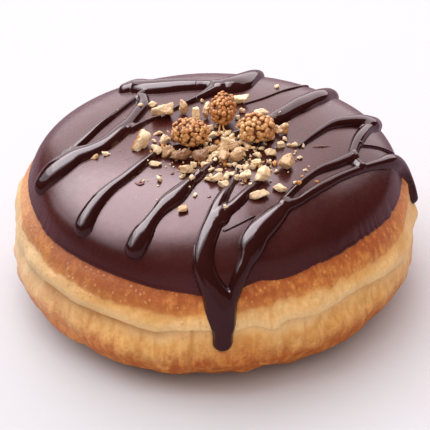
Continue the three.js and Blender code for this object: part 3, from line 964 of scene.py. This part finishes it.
# %% The strands as one height map
PITCH = 0.178  # between the points of the map
STEP = 0.14  # between the points of a strand's middle line
SKIRT = -0.75  # how far a strand reaches below the glaze
MELT = 1.1  # reach of the smooth maximum where strands meet
FILM = 0.3  # the same at a strand's foot
grid_x, grid_y = np.meshgrid(np.arange(-46, 58, PITCH), np.arange(-66, 40, PITCH), indexing="ij")


def smooth_max(a, b, reach):
    """max(a, b), rounded off where the two are within reach of each other."""
    near = np.clip(reach - np.abs(a - b), 0, None)
    return np.maximum(a, b) + near**2 / (4 * reach)


def ridge_height(distance, half_width):
    """A rounded ridge: H (1 - (d/w)^2)^0.6, going on steeply down past its foot.

    Wide strands flatten: their crest is H = 2.5 (1 - exp(-w / 2.1)).
    """
    crest = 2.5 * (1 - np.exp(-half_width / 2.1))
    share = distance / half_width
    inside = (1 - share.clip(0, 1) ** 2) ** 0.6
    return crest * np.where(share < 1, inside, 3 * (1 - share))


def strand_width(line, rng):
    """Half width along a line: it sways a little, and shrinks as the flat skin does."""
    along = np.arange(len(line)) * STEP
    sway = np.cos(along[:, None] / rng.uniform(1.2, 3.0, 4) + rng.uniform(0, 6.28, 4))
    s = np.hypot(line[:, 0], line[:, 1])
    shrink = np.where(s < 20, 1, np.interp(s, MERIDIAN[0], MERIDIAN[1]) / s.clip(1))
    return 0.9 * line[:, 2] * shrink * (1 + 0.05 * sway.sum(axis=1) / 2)


def ridge_over(line, width, spots):
    """Ridge height at each spot, from the point of the line that is nearest for its width."""
    centres = fold_round(line[:, 0], line[:, 1], np.zeros(len(line)))
    ridge = np.empty(len(spots))
    block = 4000  # spots at a time, which keeps the table of gaps small
    for start in range(0, len(spots), block):
        spot = spots[start:start + block]
        gap2 = ((spot[:, None, :] - centres[None]) ** 2).sum(-1)
        best = (np.sqrt(gap2) / width).argmin(axis=1)
        gap = np.sqrt(gap2[np.arange(len(spot)), best])
        ridge[start:start + block] = ridge_height(gap, width[best])
    return ridge


def strand_map():
    """Height of the strands above what they lie on, over the whole flat grid."""
    height = np.full(grid_x.shape, -9.0)
    places = fold_round(grid_x, grid_y, np.zeros_like(grid_x))
    rng = np.random.default_rng(40)
    for points in STRANDS.values():
        line = smooth_curve(points, STEP)
        width = strand_width(line, rng)
        reach = line[:, 2].max() * 1.5 + 1
        near = ((grid_x > line[:, 0].min() - reach) & (grid_x < line[:, 0].max() + reach)
                & (grid_y > line[:, 1].min() - reach) & (grid_y < line[:, 1].max() + reach))
        height[near] = smooth_max(height[near], ridge_over(line, width, places[near]), MELT)
    # A thin film runs out from the foot onto the glaze, then dives under it.
    film = smooth_max(height, np.full_like(height, -0.03), FILM)
    return film + np.minimum(height + FILM, 0)


strand_height = strand_map()
print("cells above the glaze:", int((strand_height > 0).sum()))


# %% The strands' body
def under_strand(s, angle):
    """What a strand lies on: the glaze, or the bun where it runs over the rim."""
    rim = glaze_rim(angle)
    on_glaze = glaze_top(np.minimum(s, rim), angle)
    return np.where(s < rim - 0.4, on_glaze, bun_relief(s, angle))


def draped_under(s, angle):
    """The same, but eased over the step at the rim, as the back of a thick strand is."""
    rim = glaze_rim(angle)
    share = smooth(rim - 6.5, rim + 3.0, s)
    return (1 - share) * (glaze_top(np.minimum(s, rim - 6), angle) + 0.1) + share * 0.1


def strand_body(keep, name):
    """A body of the kept cells of the height map, closed with an underside.

    Corners inside the kept area have a top and a bottom point. Corners on its border have
    one point that both sides share, which closes the body.
    """
    corner = np.zeros(grid_x.shape, dtype=int)
    for dx in (0, 1):
        for dy in (0, 1):
            corner[dx:dx + keep.shape[0], dy:dy + keep.shape[1]] += keep
    used = corner > 0
    inside = corner == 4
    s, angle = np.hypot(grid_x[used], grid_y[used]), np.arctan2(grid_y[used], grid_x[used])
    ridge = strand_height[used].clip(SKIRT - 0.5, None)
    close = under_strand(s, angle)
    eased = draped_under(s, angle)
    top = close + ridge + (eased - close) * smooth(0, 1.2, ridge)
    top_points = on_skin(s, angle, top)
    below = close[inside[used]] + SKIRT
    bottom_points = on_skin(s[inside[used]], angle[inside[used]], below)
    top_id = np.full(grid_x.shape, -1)
    top_id[used] = np.arange(used.sum())
    bottom_id = top_id.copy()
    bottom_id[inside] = used.sum() + np.arange(inside.sum())
    i, j = np.nonzero(keep)
    loop = [(i, j), (i + 1, j), (i + 1, j + 1), (i, j + 1)]
    top_faces = np.stack([top_id[c] for c in loop], axis=1)
    bottom_faces = np.stack([bottom_id[c] for c in reversed(loop)], axis=1)
    return make_piece(name, np.concatenate([top_points, bottom_points]),
                      np.concatenate([top_faces, bottom_faces]))


# A cell is kept where any of its corners reaches high enough.
highest = np.max([strand_height[:-1, :-1], strand_height[1:, :-1],
                  strand_height[:-1, 1:], strand_height[1:, 1:]], axis=0)
kept = highest > SKIRT * 0.8
left_half = grid_x[:-1, :-1] < -4.0
strand_pieces = [strand_body(kept & left_half, "strands_left"),
                 strand_body(kept & ~left_half, "strands_right")]
strand_material = chocolate_material("piped_chocolate", 0.1, srgb(50, 21, 19), (1, 0.9, 0.94, 1))
for piece in strand_pieces:
    dress(piece, "chocolate_glaze", strand_material)


# %% [markdown]
# ## Chopped nuts
# A chopped nut has flat cut faces, blunt edges and a crumbly grain. Such a lump is a ball
# pressed flat by planes: in each direction the surface lies where the first plane is met.
# Taking a soft minimum over the planes blunts the edges, and a fine ripple roughens the faces.
# One plane in each piece is the outer face of the nut, which is browner, and that share is
# stored with the points. Each piece also has a random tone, and a few pieces under the
# mulberries have the berries' shadow painted on as a darker colour. Scattering the pieces by
# chance would lose the heap's own pattern, so each has its place and size in a list; only
# the crumbs, which are far too many, fall by seeded chance.

# %% Where the nut pieces lie
# (x, y, length, breadth, height, turn in degrees, how roasted, or below 0 how much painted shade)
NUTS = [
    (-11, 5.3, 4.7, 3.3, 3, 20, 0.6), (-6.8, 7.6, 2.3, 2.1, 2.9, 80, 0),
    (-13.9, 11.4, 2.2, 1.5, 1.3, 10, 0.1), (-3.7, 4.1, 2.2, 1.9, 3, 85, 0),
    (-1.5, 9.9, 1.8, 1.3, 1.4, 20, 0), (-1.7, 5.6, 2.2, 1.6, 2.4, 60, 0),
    (-2.6, 13.3, 1.1, 0.8, 0.7, 60, 0), (6.2, 12.5, 3.8, 2.1, 1.9, 170, 0.1),
    (6.6, 8.1, 1.6, 1.4, 1.3, 60, 0.1),
    (10.7, 6.9, 3.1, 1.6, 1.4, 0, 0.1), (15.7, -1.1, 3.1, 2.5, 2.3, 70, 0.5),
    (14, -0.6, 1.6, 1.6, 1.9, 85, 0), (12.8, -4.2, 2.4, 1.7, 1.5, 30, 0.2),
    (-15.6, -6, 4.6, 3.3, 3.1, 65, 1.6), (-12.3, -1.6, 2.3, 0.9, 0.8, 10, 0),
    (-10.8, -5.4, 2.5, 2.1, 1.9, 40, 0.1), (-12.3, -10.2, 2.2, 2.2, 2, 120, 0),
    (-12.7, -14.2, 2.7, 1.3, 1.1, 5, 0), (-9.7, -10.4, 2.9, 2.2, 2, 50, -0.4),
    (-6.6, -12.6, 4.6, 2.7, 2.4, 20, -1), (-3.1, -12.7, 3.5, 2.5, 2.3, 150, -0.9),
    (-5.9, -17.3, 2.9, 1.9, 1.9, 10, 0.2), (0.1, -3.5, 2.7, 1.7, 1.5, 30, 0.1),
    (-0.6, -9.3, 3.3, 1.4, 1.3, 5, 0.1), (3.4, -6.8, 4.1, 1.8, 1.7, 170, 0.1),
    (2.3, -13.7, 3.3, 2.6, 2.3, 60, 0.2), (5.3, -13.4, 3.5, 3.1, 2.8, 80, 0.4),
    (4.3, -9.5, 3.1, 1.5, 1.4, 20, 0.1), (-1.7, -15, 2.1, 1.1, 1, 10, 0.1),
    (-0.4, -16.8, 1.6, 0.8, 0.8, 40, 0.2), (0.9, -20.4, 3.6, 1.8, 1.7, 10, 0.4),
    (2.6, -22.4, 2.5, 1.5, 1.4, 170, 0.1), (-1.2, -20.1, 1.3, 0.8, 0.8, 0, 0.2),
    (8, -19.4, 2.5, 2.1, 1.9, 60, 0.1), (9.9, -14.9, 2.5, 1.9, 1.7, 30, 0.1),
    (11.1, -19.9, 3.5, 3.2, 2.9, 80, 0.2), (13.1, -11.1, 2.5, 1.8, 1.6, 10, 0.1),
    (16.5, -15.2, 3.5, 3.2, 2.9, 60, 0.2), (12.6, -14.3, 1.3, 0.8, 0.8, 0, 0.1),
    (14.5, -16.8, 1.1, 0.8, 0.8, 50, 0.1), (15, -23.1, 3.1, 1.7, 1.5, 170, 0.1),
    (10.3, -25.6, 4.2, 1.9, 1.7, 20, 0.1), (18.6, -6, 1.4, 1, 0.9, 0, 0),
    (17.1, -6, 0.9, 0.7, 0.6, 40, 0), (19.7, -10.8, 1.4, 0.8, 0.8, 10, 0),
    (18.7, -8.4, 1.1, 0.6, 0.5, 60, 0), (15.3, -6.7, 1.9, 1.3, 1.2, 30, 0),
    (21.1, -15.1, 1.1, 0.6, 0.6, 0, 0), (18.7, -20.2, 1.1, 0.8, 0.8, 60, 0.3),
    (9.1, -8.9, 1.6, 0.9, 0.8, 0, 0.3), (11, -8.6, 1.4, 0.9, 0.8, 50, 0.4),
    (7.5, -6.7, 1.5, 1, 0.9, 20, 0.2), (8.4, -22.1, 1, 0.7, 0.6, 0, 0.2),
    (6.6, -21.5, 0.8, 0.5, 0.5, 0, 0.1), (-3.5, -17.8, 1.2, 0.7, 0.6, 0, 0.3),
    (3.8, -18.6, 1.4, 0.8, 0.8, 30, 0.4), (5.8, -16.7, 1.3, 0.8, 0.8, 10, 0.2),
    (1.4, -17.2, 1.6, 0.9, 0.8, 10, 0.3),
    (-6.5, -29.5, 2.2, 1.5, 1.3, 10, 0.2), (-24, -8.3, 1.3, 1, 1.1, 30, 0.1),
    (-8, -12.2, 2.2, 1.8, 1.8, 70, -0.6), (0.6, -11.6, 2.2, 1.8, 1.8, 20, 0.3),
    (2.4, -10.4, 2.6, 1.9, 2.6, 40, 0.1), (6.6, -9.8, 2, 1.5, 1.5, 130, 0.3),
    (-4.2, -15, 2, 1.6, 1.5, 60, 0.3), (7.4, -16.6, 1.8, 1.4, 1.3, 20, 0.2),
    (4.2, -4.2, 1.9, 1.4, 1.3, 80, 0.2), (10.4, -11.6, 1.8, 1.4, 1.3, 10, 0.2),
    (-8.4, -1.2, 1.7, 1.4, 1.2, 50, 0.2), (12.2, -17.2, 1.6, 1.2, 1.2, 60, 0.2),
    (-0.6, 0.2, 1.6, 1.2, 1.2, 10, 0.3), (5.4, -19.8, 1.6, 1.2, 1.1, 40, 0.2),
]
print(len(NUTS), "nut pieces")


# %% Balls, lumps and turns
def ground_at(x, y):
    """Height of glaze or strand above the skin at flat-skin points."""
    i = np.clip(np.round((x - grid_x[0, 0]) / PITCH).astype(int), 0, grid_x.shape[0] - 1)
    j = np.clip(np.round((y - grid_y[0, 0]) / PITCH).astype(int), 0, grid_x.shape[1] - 1)
    return strand_height[i, j].clip(0, None)


def ball_directions(rows, columns):
    """Directions from pole to pole: a grid whose first and last rows are the poles."""
    lift = np.linspace(0, np.pi, rows)[:, None]
    turn = np.linspace(0, 2 * np.pi, columns, endpoint=False)[None, :]
    return np.stack([np.sin(lift) * np.cos(turn), np.sin(lift) * np.sin(turn),
                     np.cos(lift) * np.ones_like(turn)], axis=-1)


def ball_faces(rows, columns):
    """Triangles of such a ball, with one corner for each pole (the last two points)."""
    quads = ring_faces(rows - 2, columns)
    ring = np.arange(columns)
    after = (ring + 1) % columns
    top, bottom, last = (rows - 2) * columns, (rows - 2) * columns + 1, (rows - 3) * columns
    return np.concatenate([
        quads[:, [0, 1, 2]], quads[:, [0, 2, 3]],
        np.stack([np.full(columns, top), ring, after], axis=1),
        np.stack([np.full(columns, bottom), last + after, last + ring], axis=1),
    ])


def ball_points(grid):
    """Flattens a (..., rows, columns, k) grid to points with single poles at the end."""
    lead = grid.shape[:-3]
    middle = grid[..., 1:-1, :, :].reshape(*lead, -1, grid.shape[-1])
    return np.concatenate([middle, grid[..., 0, :1, :], grid[..., -1, :1, :]], axis=-2)


def repeated(faces, copies, points_each):
    """One body's faces for several copies, whose points follow one another."""
    start = np.arange(copies) * points_each
    return (faces[None] + start[:, None, None]).reshape(-1, 3)


def random_turns(count, rng):
    """Random rotation matrices, from the QR factors of normal draws."""
    turns, _ = np.linalg.qr(rng.normal(size=(count, 3, 3)))
    turns[:, :, 0] *= np.sign(np.linalg.det(turns))[:, None]
    return turns


def lumps(count, rows, columns, planes, sharpness, rng):
    """Unit nut lumps: r(d) = (sum over planes of (max(d.n, 0) / c)^p)^(-1/p).

    n and c are a plane's direction and distance. Returns points and the share of the
    browner outer face, for all lumps at once.
    """
    directions = ball_directions(rows, columns)
    normals = rng.normal(size=(count, planes, 3))
    normals[:, :6] = np.concatenate([np.eye(3), -np.eye(3)]) + rng.normal(size=(count, 6, 3)) * 0.3
    normals /= np.linalg.norm(normals, axis=-1, keepdims=True)
    reach = rng.uniform(0.7, 1.0, size=(count, planes))
    reach[:, 6:] = rng.uniform(0.78, 1.05, size=(count, planes - 6))
    met = np.einsum("rcx,npx->nrcp", directions, normals).clip(1e-4) / reach[:, None, None, :]
    radius = (met**sharpness).sum(-1) ** (-1 / sharpness)
    outer = (met[..., 0] * radius) ** 6
    points = directions[None] * radius[..., None]
    return points, outer


def turn_about_up(degrees):
    """The rotation matrix about the upward axis."""
    c, s = np.cos(np.radians(degrees)), np.sin(np.radians(degrees))
    return np.array([[c, -s, 0], [s, c, 0], [0, 0, 1.0]])


# %% The chopped nuts
NUT_GRID = (24, 32)  # rows and columns of points
NUT_PLANES = 12
NUT_SHARPNESS = 22  # of the edges between the planes
FULLNESS = 1.12  # a piece is a little larger than the part of it that shows
SUNK = 0.12  # mm into the glaze


def nut_grain(points, height):
    """Crumbly grain: three ripples, the middle one folded into sharp grooves."""
    return (ripple(points, 0.6, 60) * 0.05 - np.abs(ripple(points, 1.7, 61)) * 0.13
            + ripple(points, 2.4, 62) * 0.08) * min(1, height / 2)


def make_nuts():
    """One mesh of all pieces, with how roasted each point is, and its random tone and painted
    shade.
    """
    rng = np.random.default_rng(2024)
    shapes, outer = lumps(len(NUTS), *NUT_GRID, NUT_PLANES, NUT_SHARPNESS, rng)
    all_points, roast, nut_tone_and_shade = [], [], []
    for k, (x, y, length, breadth, height, turn, roasted) in enumerate(NUTS):
        shape = shapes[k] @ random_turns(1, rng)[0].T
        span = shape.max(axis=(0, 1)) - shape.min(axis=(0, 1))
        shape = shape / span * np.array([length, breadth, 1.15 * height]) * FULLNESS
        shape = shape @ turn_about_up(turn).T
        grain = nut_grain(shape + 50 * k, height)
        shape = shape * (1 + grain[..., None] / np.linalg.norm(shape, axis=-1, keepdims=True))
        base = 0.5 * ground_at(np.array(x), np.array(y))
        lift = -shape[..., 2].min() - SUNK + base
        placed = fold_round(shape[..., 0] + x, shape[..., 1] + y, shape[..., 2] + lift)
        all_points.append(ball_points(placed))
        roast.append(ball_points(outer[k][..., None])[:, 0] * max(roasted, 0))
        # Most pieces take a random tone; a negative roast stands for painted shadow of the
        # mulberries.
        nut_tone_and_shade.append(np.full(len(roast[-1]), rng.random() if roasted >= 0 else 1 - roasted))
    faces = repeated(ball_faces(*NUT_GRID), len(NUTS), len(all_points[0]))
    return make_piece("chopped_nuts", np.concatenate(all_points), faces,
                      attributes={"roast": np.concatenate(roast), "nut_tone_and_shade": np.concatenate(nut_tone_and_shade)})


nuts = make_nuts()


# %% The crumbs
CRUMBS = 420
CRUMB_GRID = (6, 8)
STRAY_SHARE = 0.16  # of the crumbs lie far from the heap


def make_crumbs():
    """Fine crumbs in a heap over the middle, each a lump of a few dozen faces."""
    rng = np.random.default_rng(77)
    shapes, _ = lumps(CRUMBS, *CRUMB_GRID, 8, 12, rng)
    x, y = np.stack([rng.normal(3.0, 6.5, CRUMBS), rng.normal(-9.0, 5.5, CRUMBS)])
    far = rng.random(CRUMBS) < STRAY_SHARE
    x[far], y[far] = rng.normal(2, 13, far.sum()), rng.normal(-8, 11, far.sum())
    size = 0.3 + 0.95 * rng.random(CRUMBS) ** 2.4  # mm; most are small
    stretch = rng.uniform(0.7, 1.3, (CRUMBS, 3))
    sized = shapes * (size[:, None] * stretch / 2)[:, None, None, :]
    turned = np.einsum("nrcx,nyx->nrcy", sized, random_turns(CRUMBS, rng))
    base = ground_at(x, y) + 0.35 * size
    placed = fold_round(turned[..., 0] + x[:, None, None], turned[..., 1] + y[:, None, None],
                        turned[..., 2] + base[:, None, None])
    points = ball_points(placed)
    faces = repeated(ball_faces(*CRUMB_GRID), CRUMBS, points.shape[1])
    tone = np.repeat(rng.random(CRUMBS) ** 3, points.shape[1])
    return make_piece("nut_crumbs", points, faces, smooth_faces=False,
                      attributes={"roast": tone})


crumbs = make_crumbs()


# %% Nut material
def nut_material():
    """Cream where it was cut, brown on the outer face, darkened by random tone and painted shade.
    """
    shade = Shade("chopped_nut")
    where = shade.position()
    cloud = shade.noise(600, 4, where)
    tone_and_painted_shade = shade.attribute("nut_tone_and_shade")
    cut = shade.painted(
        shade.two_tone(cloud, 0.3, 0.7, (250, 228, 192), (235, 203, 156)),
        # Up to 1 the value is a random tone; above 1 it is painted shadow of the mulberries.
        (shade.range(tone_and_painted_shade, 0.3, 1.0), 0.85, (190, 148, 102)),
        (shade.range(tone_and_painted_shade, 1.0, 2.0), 0.9, (134, 92, 62)),
    )
    outer = shade.two_tone(cloud, 0.3, 0.7, (186, 116, 50), (206, 146, 76))
    roasted = shade.range(shade.jitter(shade.attribute("roast"), cloud, 0.5), 0.1, 0.75)
    return shade.finish({
        "Base Color": shade.mix(roasted, cut, outer),
        "Roughness": 0.5,
        "Subsurface Weight": 0.15,
        "Subsurface Radius": (1.0, 0.6, 0.3),
        "Subsurface Scale": 0.0006,
        "Normal": shade.bump(shade.noise(1500, 3, where), 0.0005, 0.8),
    })


cut_nut = nut_material()
dress(nuts, "chocolate_glaze", cut_nut)
dress(crumbs, "chocolate_glaze", cut_nut)

# %% [markdown]
# ## Dried mulberries
# A mulberry is a cluster of tiny round fruits. When it dries, each one shrinks to a knob with
# a dimple in it, deepest on top. A lumpy height map would make them look embossed, so the
# cluster is a blunt oval core with separate knobs set along a golden spiral, which spreads
# them evenly with no rows. Each knob is a ball whose outer end is pressed in.

# %% The mulberries
# (x, y, turn in degrees, length, breadth, height, how brown)
MULBERRIES = [
    (-5.2, -7, -8, 8.6, 6.6, 6.2, 0.6),
    (2.2, 3, 82, 8.8, 5.8, 6.6, 1.0),
    (9.8, -5.4, 12, 8.6, 6.8, 6.2, 0.3),
]
HEAP_LIFT = 0.7  # mm that the berries lie above the glaze, on the crumbs
KNOBS = 126  # on each berry
KNOB_GRID = (7, 8)  # few faces, since a knob is repeated hundreds of times
CORE_GRID = (30, 40)
BLUNTNESS = 2.6  # power of the oval; 2 is an ellipsoid, and more is fuller
KNOB_INSET, CORE_INSET = 0.62, 0.75  # mm inside the outline


def golden_spiral(count, rng):
    """Directions spread evenly over a ball, each moved a little by chance.

    Number k stands at 0.96 (1 - 2k / count) along the berry, a golden angle further round.
    """
    k = np.arange(count) + 0.5
    up = 0.96 * (1 - 2 * k / count)
    around = k * np.pi * (3 - math.sqrt(5))
    out = np.sqrt(1 - up**2)
    directions = np.stack([up, out * np.cos(around), out * np.sin(around)], axis=1)
    directions += rng.normal(size=directions.shape) * 0.085
    return directions / np.linalg.norm(directions, axis=1, keepdims=True)


def pressed_ball(pressed):
    """Unit knobs, one for each value: 1.12 times as tall as wide, with the outer end in."""
    ball = ball_directions(*KNOB_GRID)
    knob = np.broadcast_to(ball, (len(pressed), *ball.shape)).copy()
    outer_end = bump(np.hypot(ball[..., 0], ball[..., 1]), 0, 0.38) * (ball[..., 2] > 0)
    knob[..., 2] = knob[..., 2] * 1.12 - pressed[:, None, None] * outer_end
    return knob


def standing_on(outward, rng):
    """Rotation matrices that stand a body on a surface, turned about its normal by chance."""
    outward = outward / np.linalg.norm(outward, axis=1, keepdims=True)
    aside = np.cross(outward, rng.normal(size=outward.shape))
    aside /= np.linalg.norm(aside, axis=1, keepdims=True)
    return np.stack([aside, np.cross(outward, aside), outward], axis=2)


# %% Making a mulberry
def make_mulberry(number, x, y, turn, length, breadth, height, brown):
    """Knobs over a core: middle m lies at m (half size - inset) x blunt x uneven."""
    rng = np.random.default_rng(500 + number)
    half = np.array([length, breadth, height]) / 2
    middles = golden_spiral(KNOBS, rng)
    # The knobs on top are small and shrivelled, the lower ones round and paler.
    top = smooth(-0.2, 0.7, middles[:, 2]) * min(1, brown * 1.5)
    radius = rng.uniform(0.56, 0.8, KNOBS) * (1 - 0.2 * top)
    blunt = (np.abs(middles) ** BLUNTNESS).sum(axis=1) ** (-1 / BLUNTNESS)
    uneven = 1 + 0.07 * ripple(middles * 2.0, 1.6, 510 + number)
    reach = blunt * uneven + rng.normal(size=KNOBS) * 0.04 - 0.05
    frames = standing_on(middles / half, rng)
    knob = pressed_ball(rng.uniform(0.0, 0.3, KNOBS) + 0.4 * top)
    placed = np.einsum("nrcx,nyx->nrcy", knob * radius[:, None, None, None], frames)
    placed += (middles * (half - KNOB_INSET) * reach[:, None])[:, None, None, :]

    knobs = ball_points(placed)
    core = ball_points(ball_directions(*CORE_GRID) * (half - CORE_INSET))
    each = knobs.shape[1]
    faces = np.concatenate([repeated(ball_faces(*KNOB_GRID), KNOBS, each),
                            ball_faces(*CORE_GRID) + KNOBS * each])
    points = np.concatenate([knobs.reshape(-1, 3), core]) @ turn_about_up(turn).T
    points += np.array([x + CROWN[0], y + CROWN[1], HEIGHT + HEAP_LIFT + height / 2])
    # How far out a point lies on its knob: 1 at the outer end. The core counts as a hollow, which
    # is painted with the full shade of the hollows.
    out = np.concatenate([ball_points(knob[..., 2:]).ravel(), np.full(len(core), -1.0)])
    tone = brown * (0.7 + 0.3 * top) + rng.normal(size=KNOBS) * 0.22
    tone = np.concatenate([np.repeat(tone, each), np.full(len(core), brown)])
    return make_piece(f"mulberry_{number}", points, faces,
                      attributes={"knob": out, "brown": tone.clip(0, 1)})


mulberries = [make_mulberry(n + 1, *berry) for n, berry in enumerate(MULBERRIES)]


# %% Mulberry material
def mulberry_material():
    """Tan knobs, browner where the berry is, with painted shade in the hollows between them."""
    shade = Shade("dried_mulberry")
    where = shade.position()
    cloud = shade.noise(420, 3, where)
    fine = shade.noise(1800, 3, where)
    light = shade.two_tone(cloud, 0.35, 0.65, (212, 156, 92), (232, 186, 126))
    dark = shade.two_tone(cloud, 0.35, 0.65, (176, 106, 44), (204, 138, 68))
    colour = shade.painted(
        shade.mix(shade.attribute("brown"), light, dark),
        (shade.range(fine, 0.4, 0.7), 1, (178, 116, 62)),
        # Painted shade in the hollows: from the middle of each knob down to its foot, and on the
        # core.
        (shade.range(shade.attribute("knob"), 0.65, -0.2), 1, (108, 56, 20)),
    )
    return shade.finish({
        "Base Color": colour,
        "Roughness": 0.48,
        "Subsurface Weight": 0.2,
        "Subsurface Radius": (1.0, 0.45, 0.2),
        "Subsurface Scale": 0.0006,
        "Normal": shade.bump(fine, 0.0001, 0.5),
    })


fruit_material = mulberry_material()
for number, piece in enumerate(mulberries, 1):
    dress(piece, f"dried_mulberry_{number}", fruit_material)

# %% [markdown]
# ## Threads, stems and nut skins
# Small dark skins of the nuts lie on the glaze, and two mulberries keep a thin stem. Each is
# a flattened tube: an oval profile carried along a short curve, thinning out at both ends. A
# thin tube is enough, since each is only a few pixels long in the photograph.

# %% Threads as flattened tubes
# Lines of (x, y, height above the ground) on the flat skin, and the half width, in mm.
SKINS = [
    ([(-17.2, -19.4, 0.1), (-16, -20.4, 0.25), (-14.8, -19.9, 0.3)], 0.3),
    ([(-16.4, -20.3, 0.1), (-15.6, -19.1, 0.4)], 0.22),
    ([(-4.3, -24.3, 0.1), (-3.5, -24.7, 0.35)], 0.28),
    ([(-9.3, -17.6, 0.1), (-8.4, -17.2, 0.3)], 0.26),
    ([(-1.3, -25.9, 0.1), (-0.4, -25.6, 0.3)], 0.24),
    ([(22.2, -5.4, 0.15), (24.3, -4.9, 0.25), (26.5, -4.1, 0.15)], 0.2),
    ([(-9, 33.2, 0.1), (-8, 33.8, 0.3), (-6.6, 34, 0.5)], 0.3),
    ([(28.2, -14.8, 0.1), (29.4, -14.4, 0.25)], 0.2),
    ([(18.2, -11.6, 0.1), (19.3, -11.9, 0.3)], 0.22),
]
STEMS = [
    ([(1.6, 0.4, 2.2), (1.5, -1, 1.3), (1.3, -2.4, 0.7)], 0.22),
    ([(1.9, 0.4, 2.2), (2.5, -1.6, 1.2), (3.1, -3.6, 0.6)], 0.2),
    ([(-9.4, -5.6, 2.6), (-10.3, -5, 3.1)], 0.25),
]


def make_threads(name, threads, columns=8):
    """Tubes of width w sin(pi t)^0.5 at share t of their length, half as thick as wide."""
    points, faces, offset = [], [], 0
    for line, half_width in threads:
        centre = smooth_curve(line, 0.15)
        t = np.linspace(0, 1, len(centre))[:, None]
        taper = half_width * np.sqrt(np.sin(np.pi * t).clip(0))
        turn = np.linspace(0, 2 * np.pi, columns, endpoint=False)[None, :]
        ahead = np.gradient(centre[:, :2], axis=0)
        ahead /= np.linalg.norm(ahead, axis=1, keepdims=True)
        x = centre[:, :1] - ahead[:, 1:] * taper * np.cos(turn)
        y = centre[:, 1:2] + ahead[:, :1] * taper * np.cos(turn)
        height = centre[:, 2:] + ground_at(x, y) + 0.5 * taper * np.sin(turn)
        tube = ball_points(fold_round(x, y, height))
        points.append(tube)
        faces.append(ball_faces(len(centre), columns)[:, ::-1] + offset)
        offset += len(tube)
    return make_piece(name, np.concatenate(points), np.concatenate(faces))


def dry_material(name, colour):
    """One colour, clouded with a deeper one."""
    shade = Shade(name)
    cloud = shade.range(shade.noise(900, 2, shade.position()), 0.35, 0.65)
    deeper = tuple(0.7 * v for v in colour[:3]) + (1,)
    return shade.finish({"Base Color": shade.mix(cloud, colour, deeper), "Roughness": 0.5})


skins = make_threads("nut_skins", SKINS)
dress(skins, "chocolate_glaze", dry_material("nut_skin", srgb(118, 58, 44)))
stems = make_threads("stems", STEMS)
dress(stems, "dried_mulberry_2", dry_material("stem", srgb(214, 160, 96)))
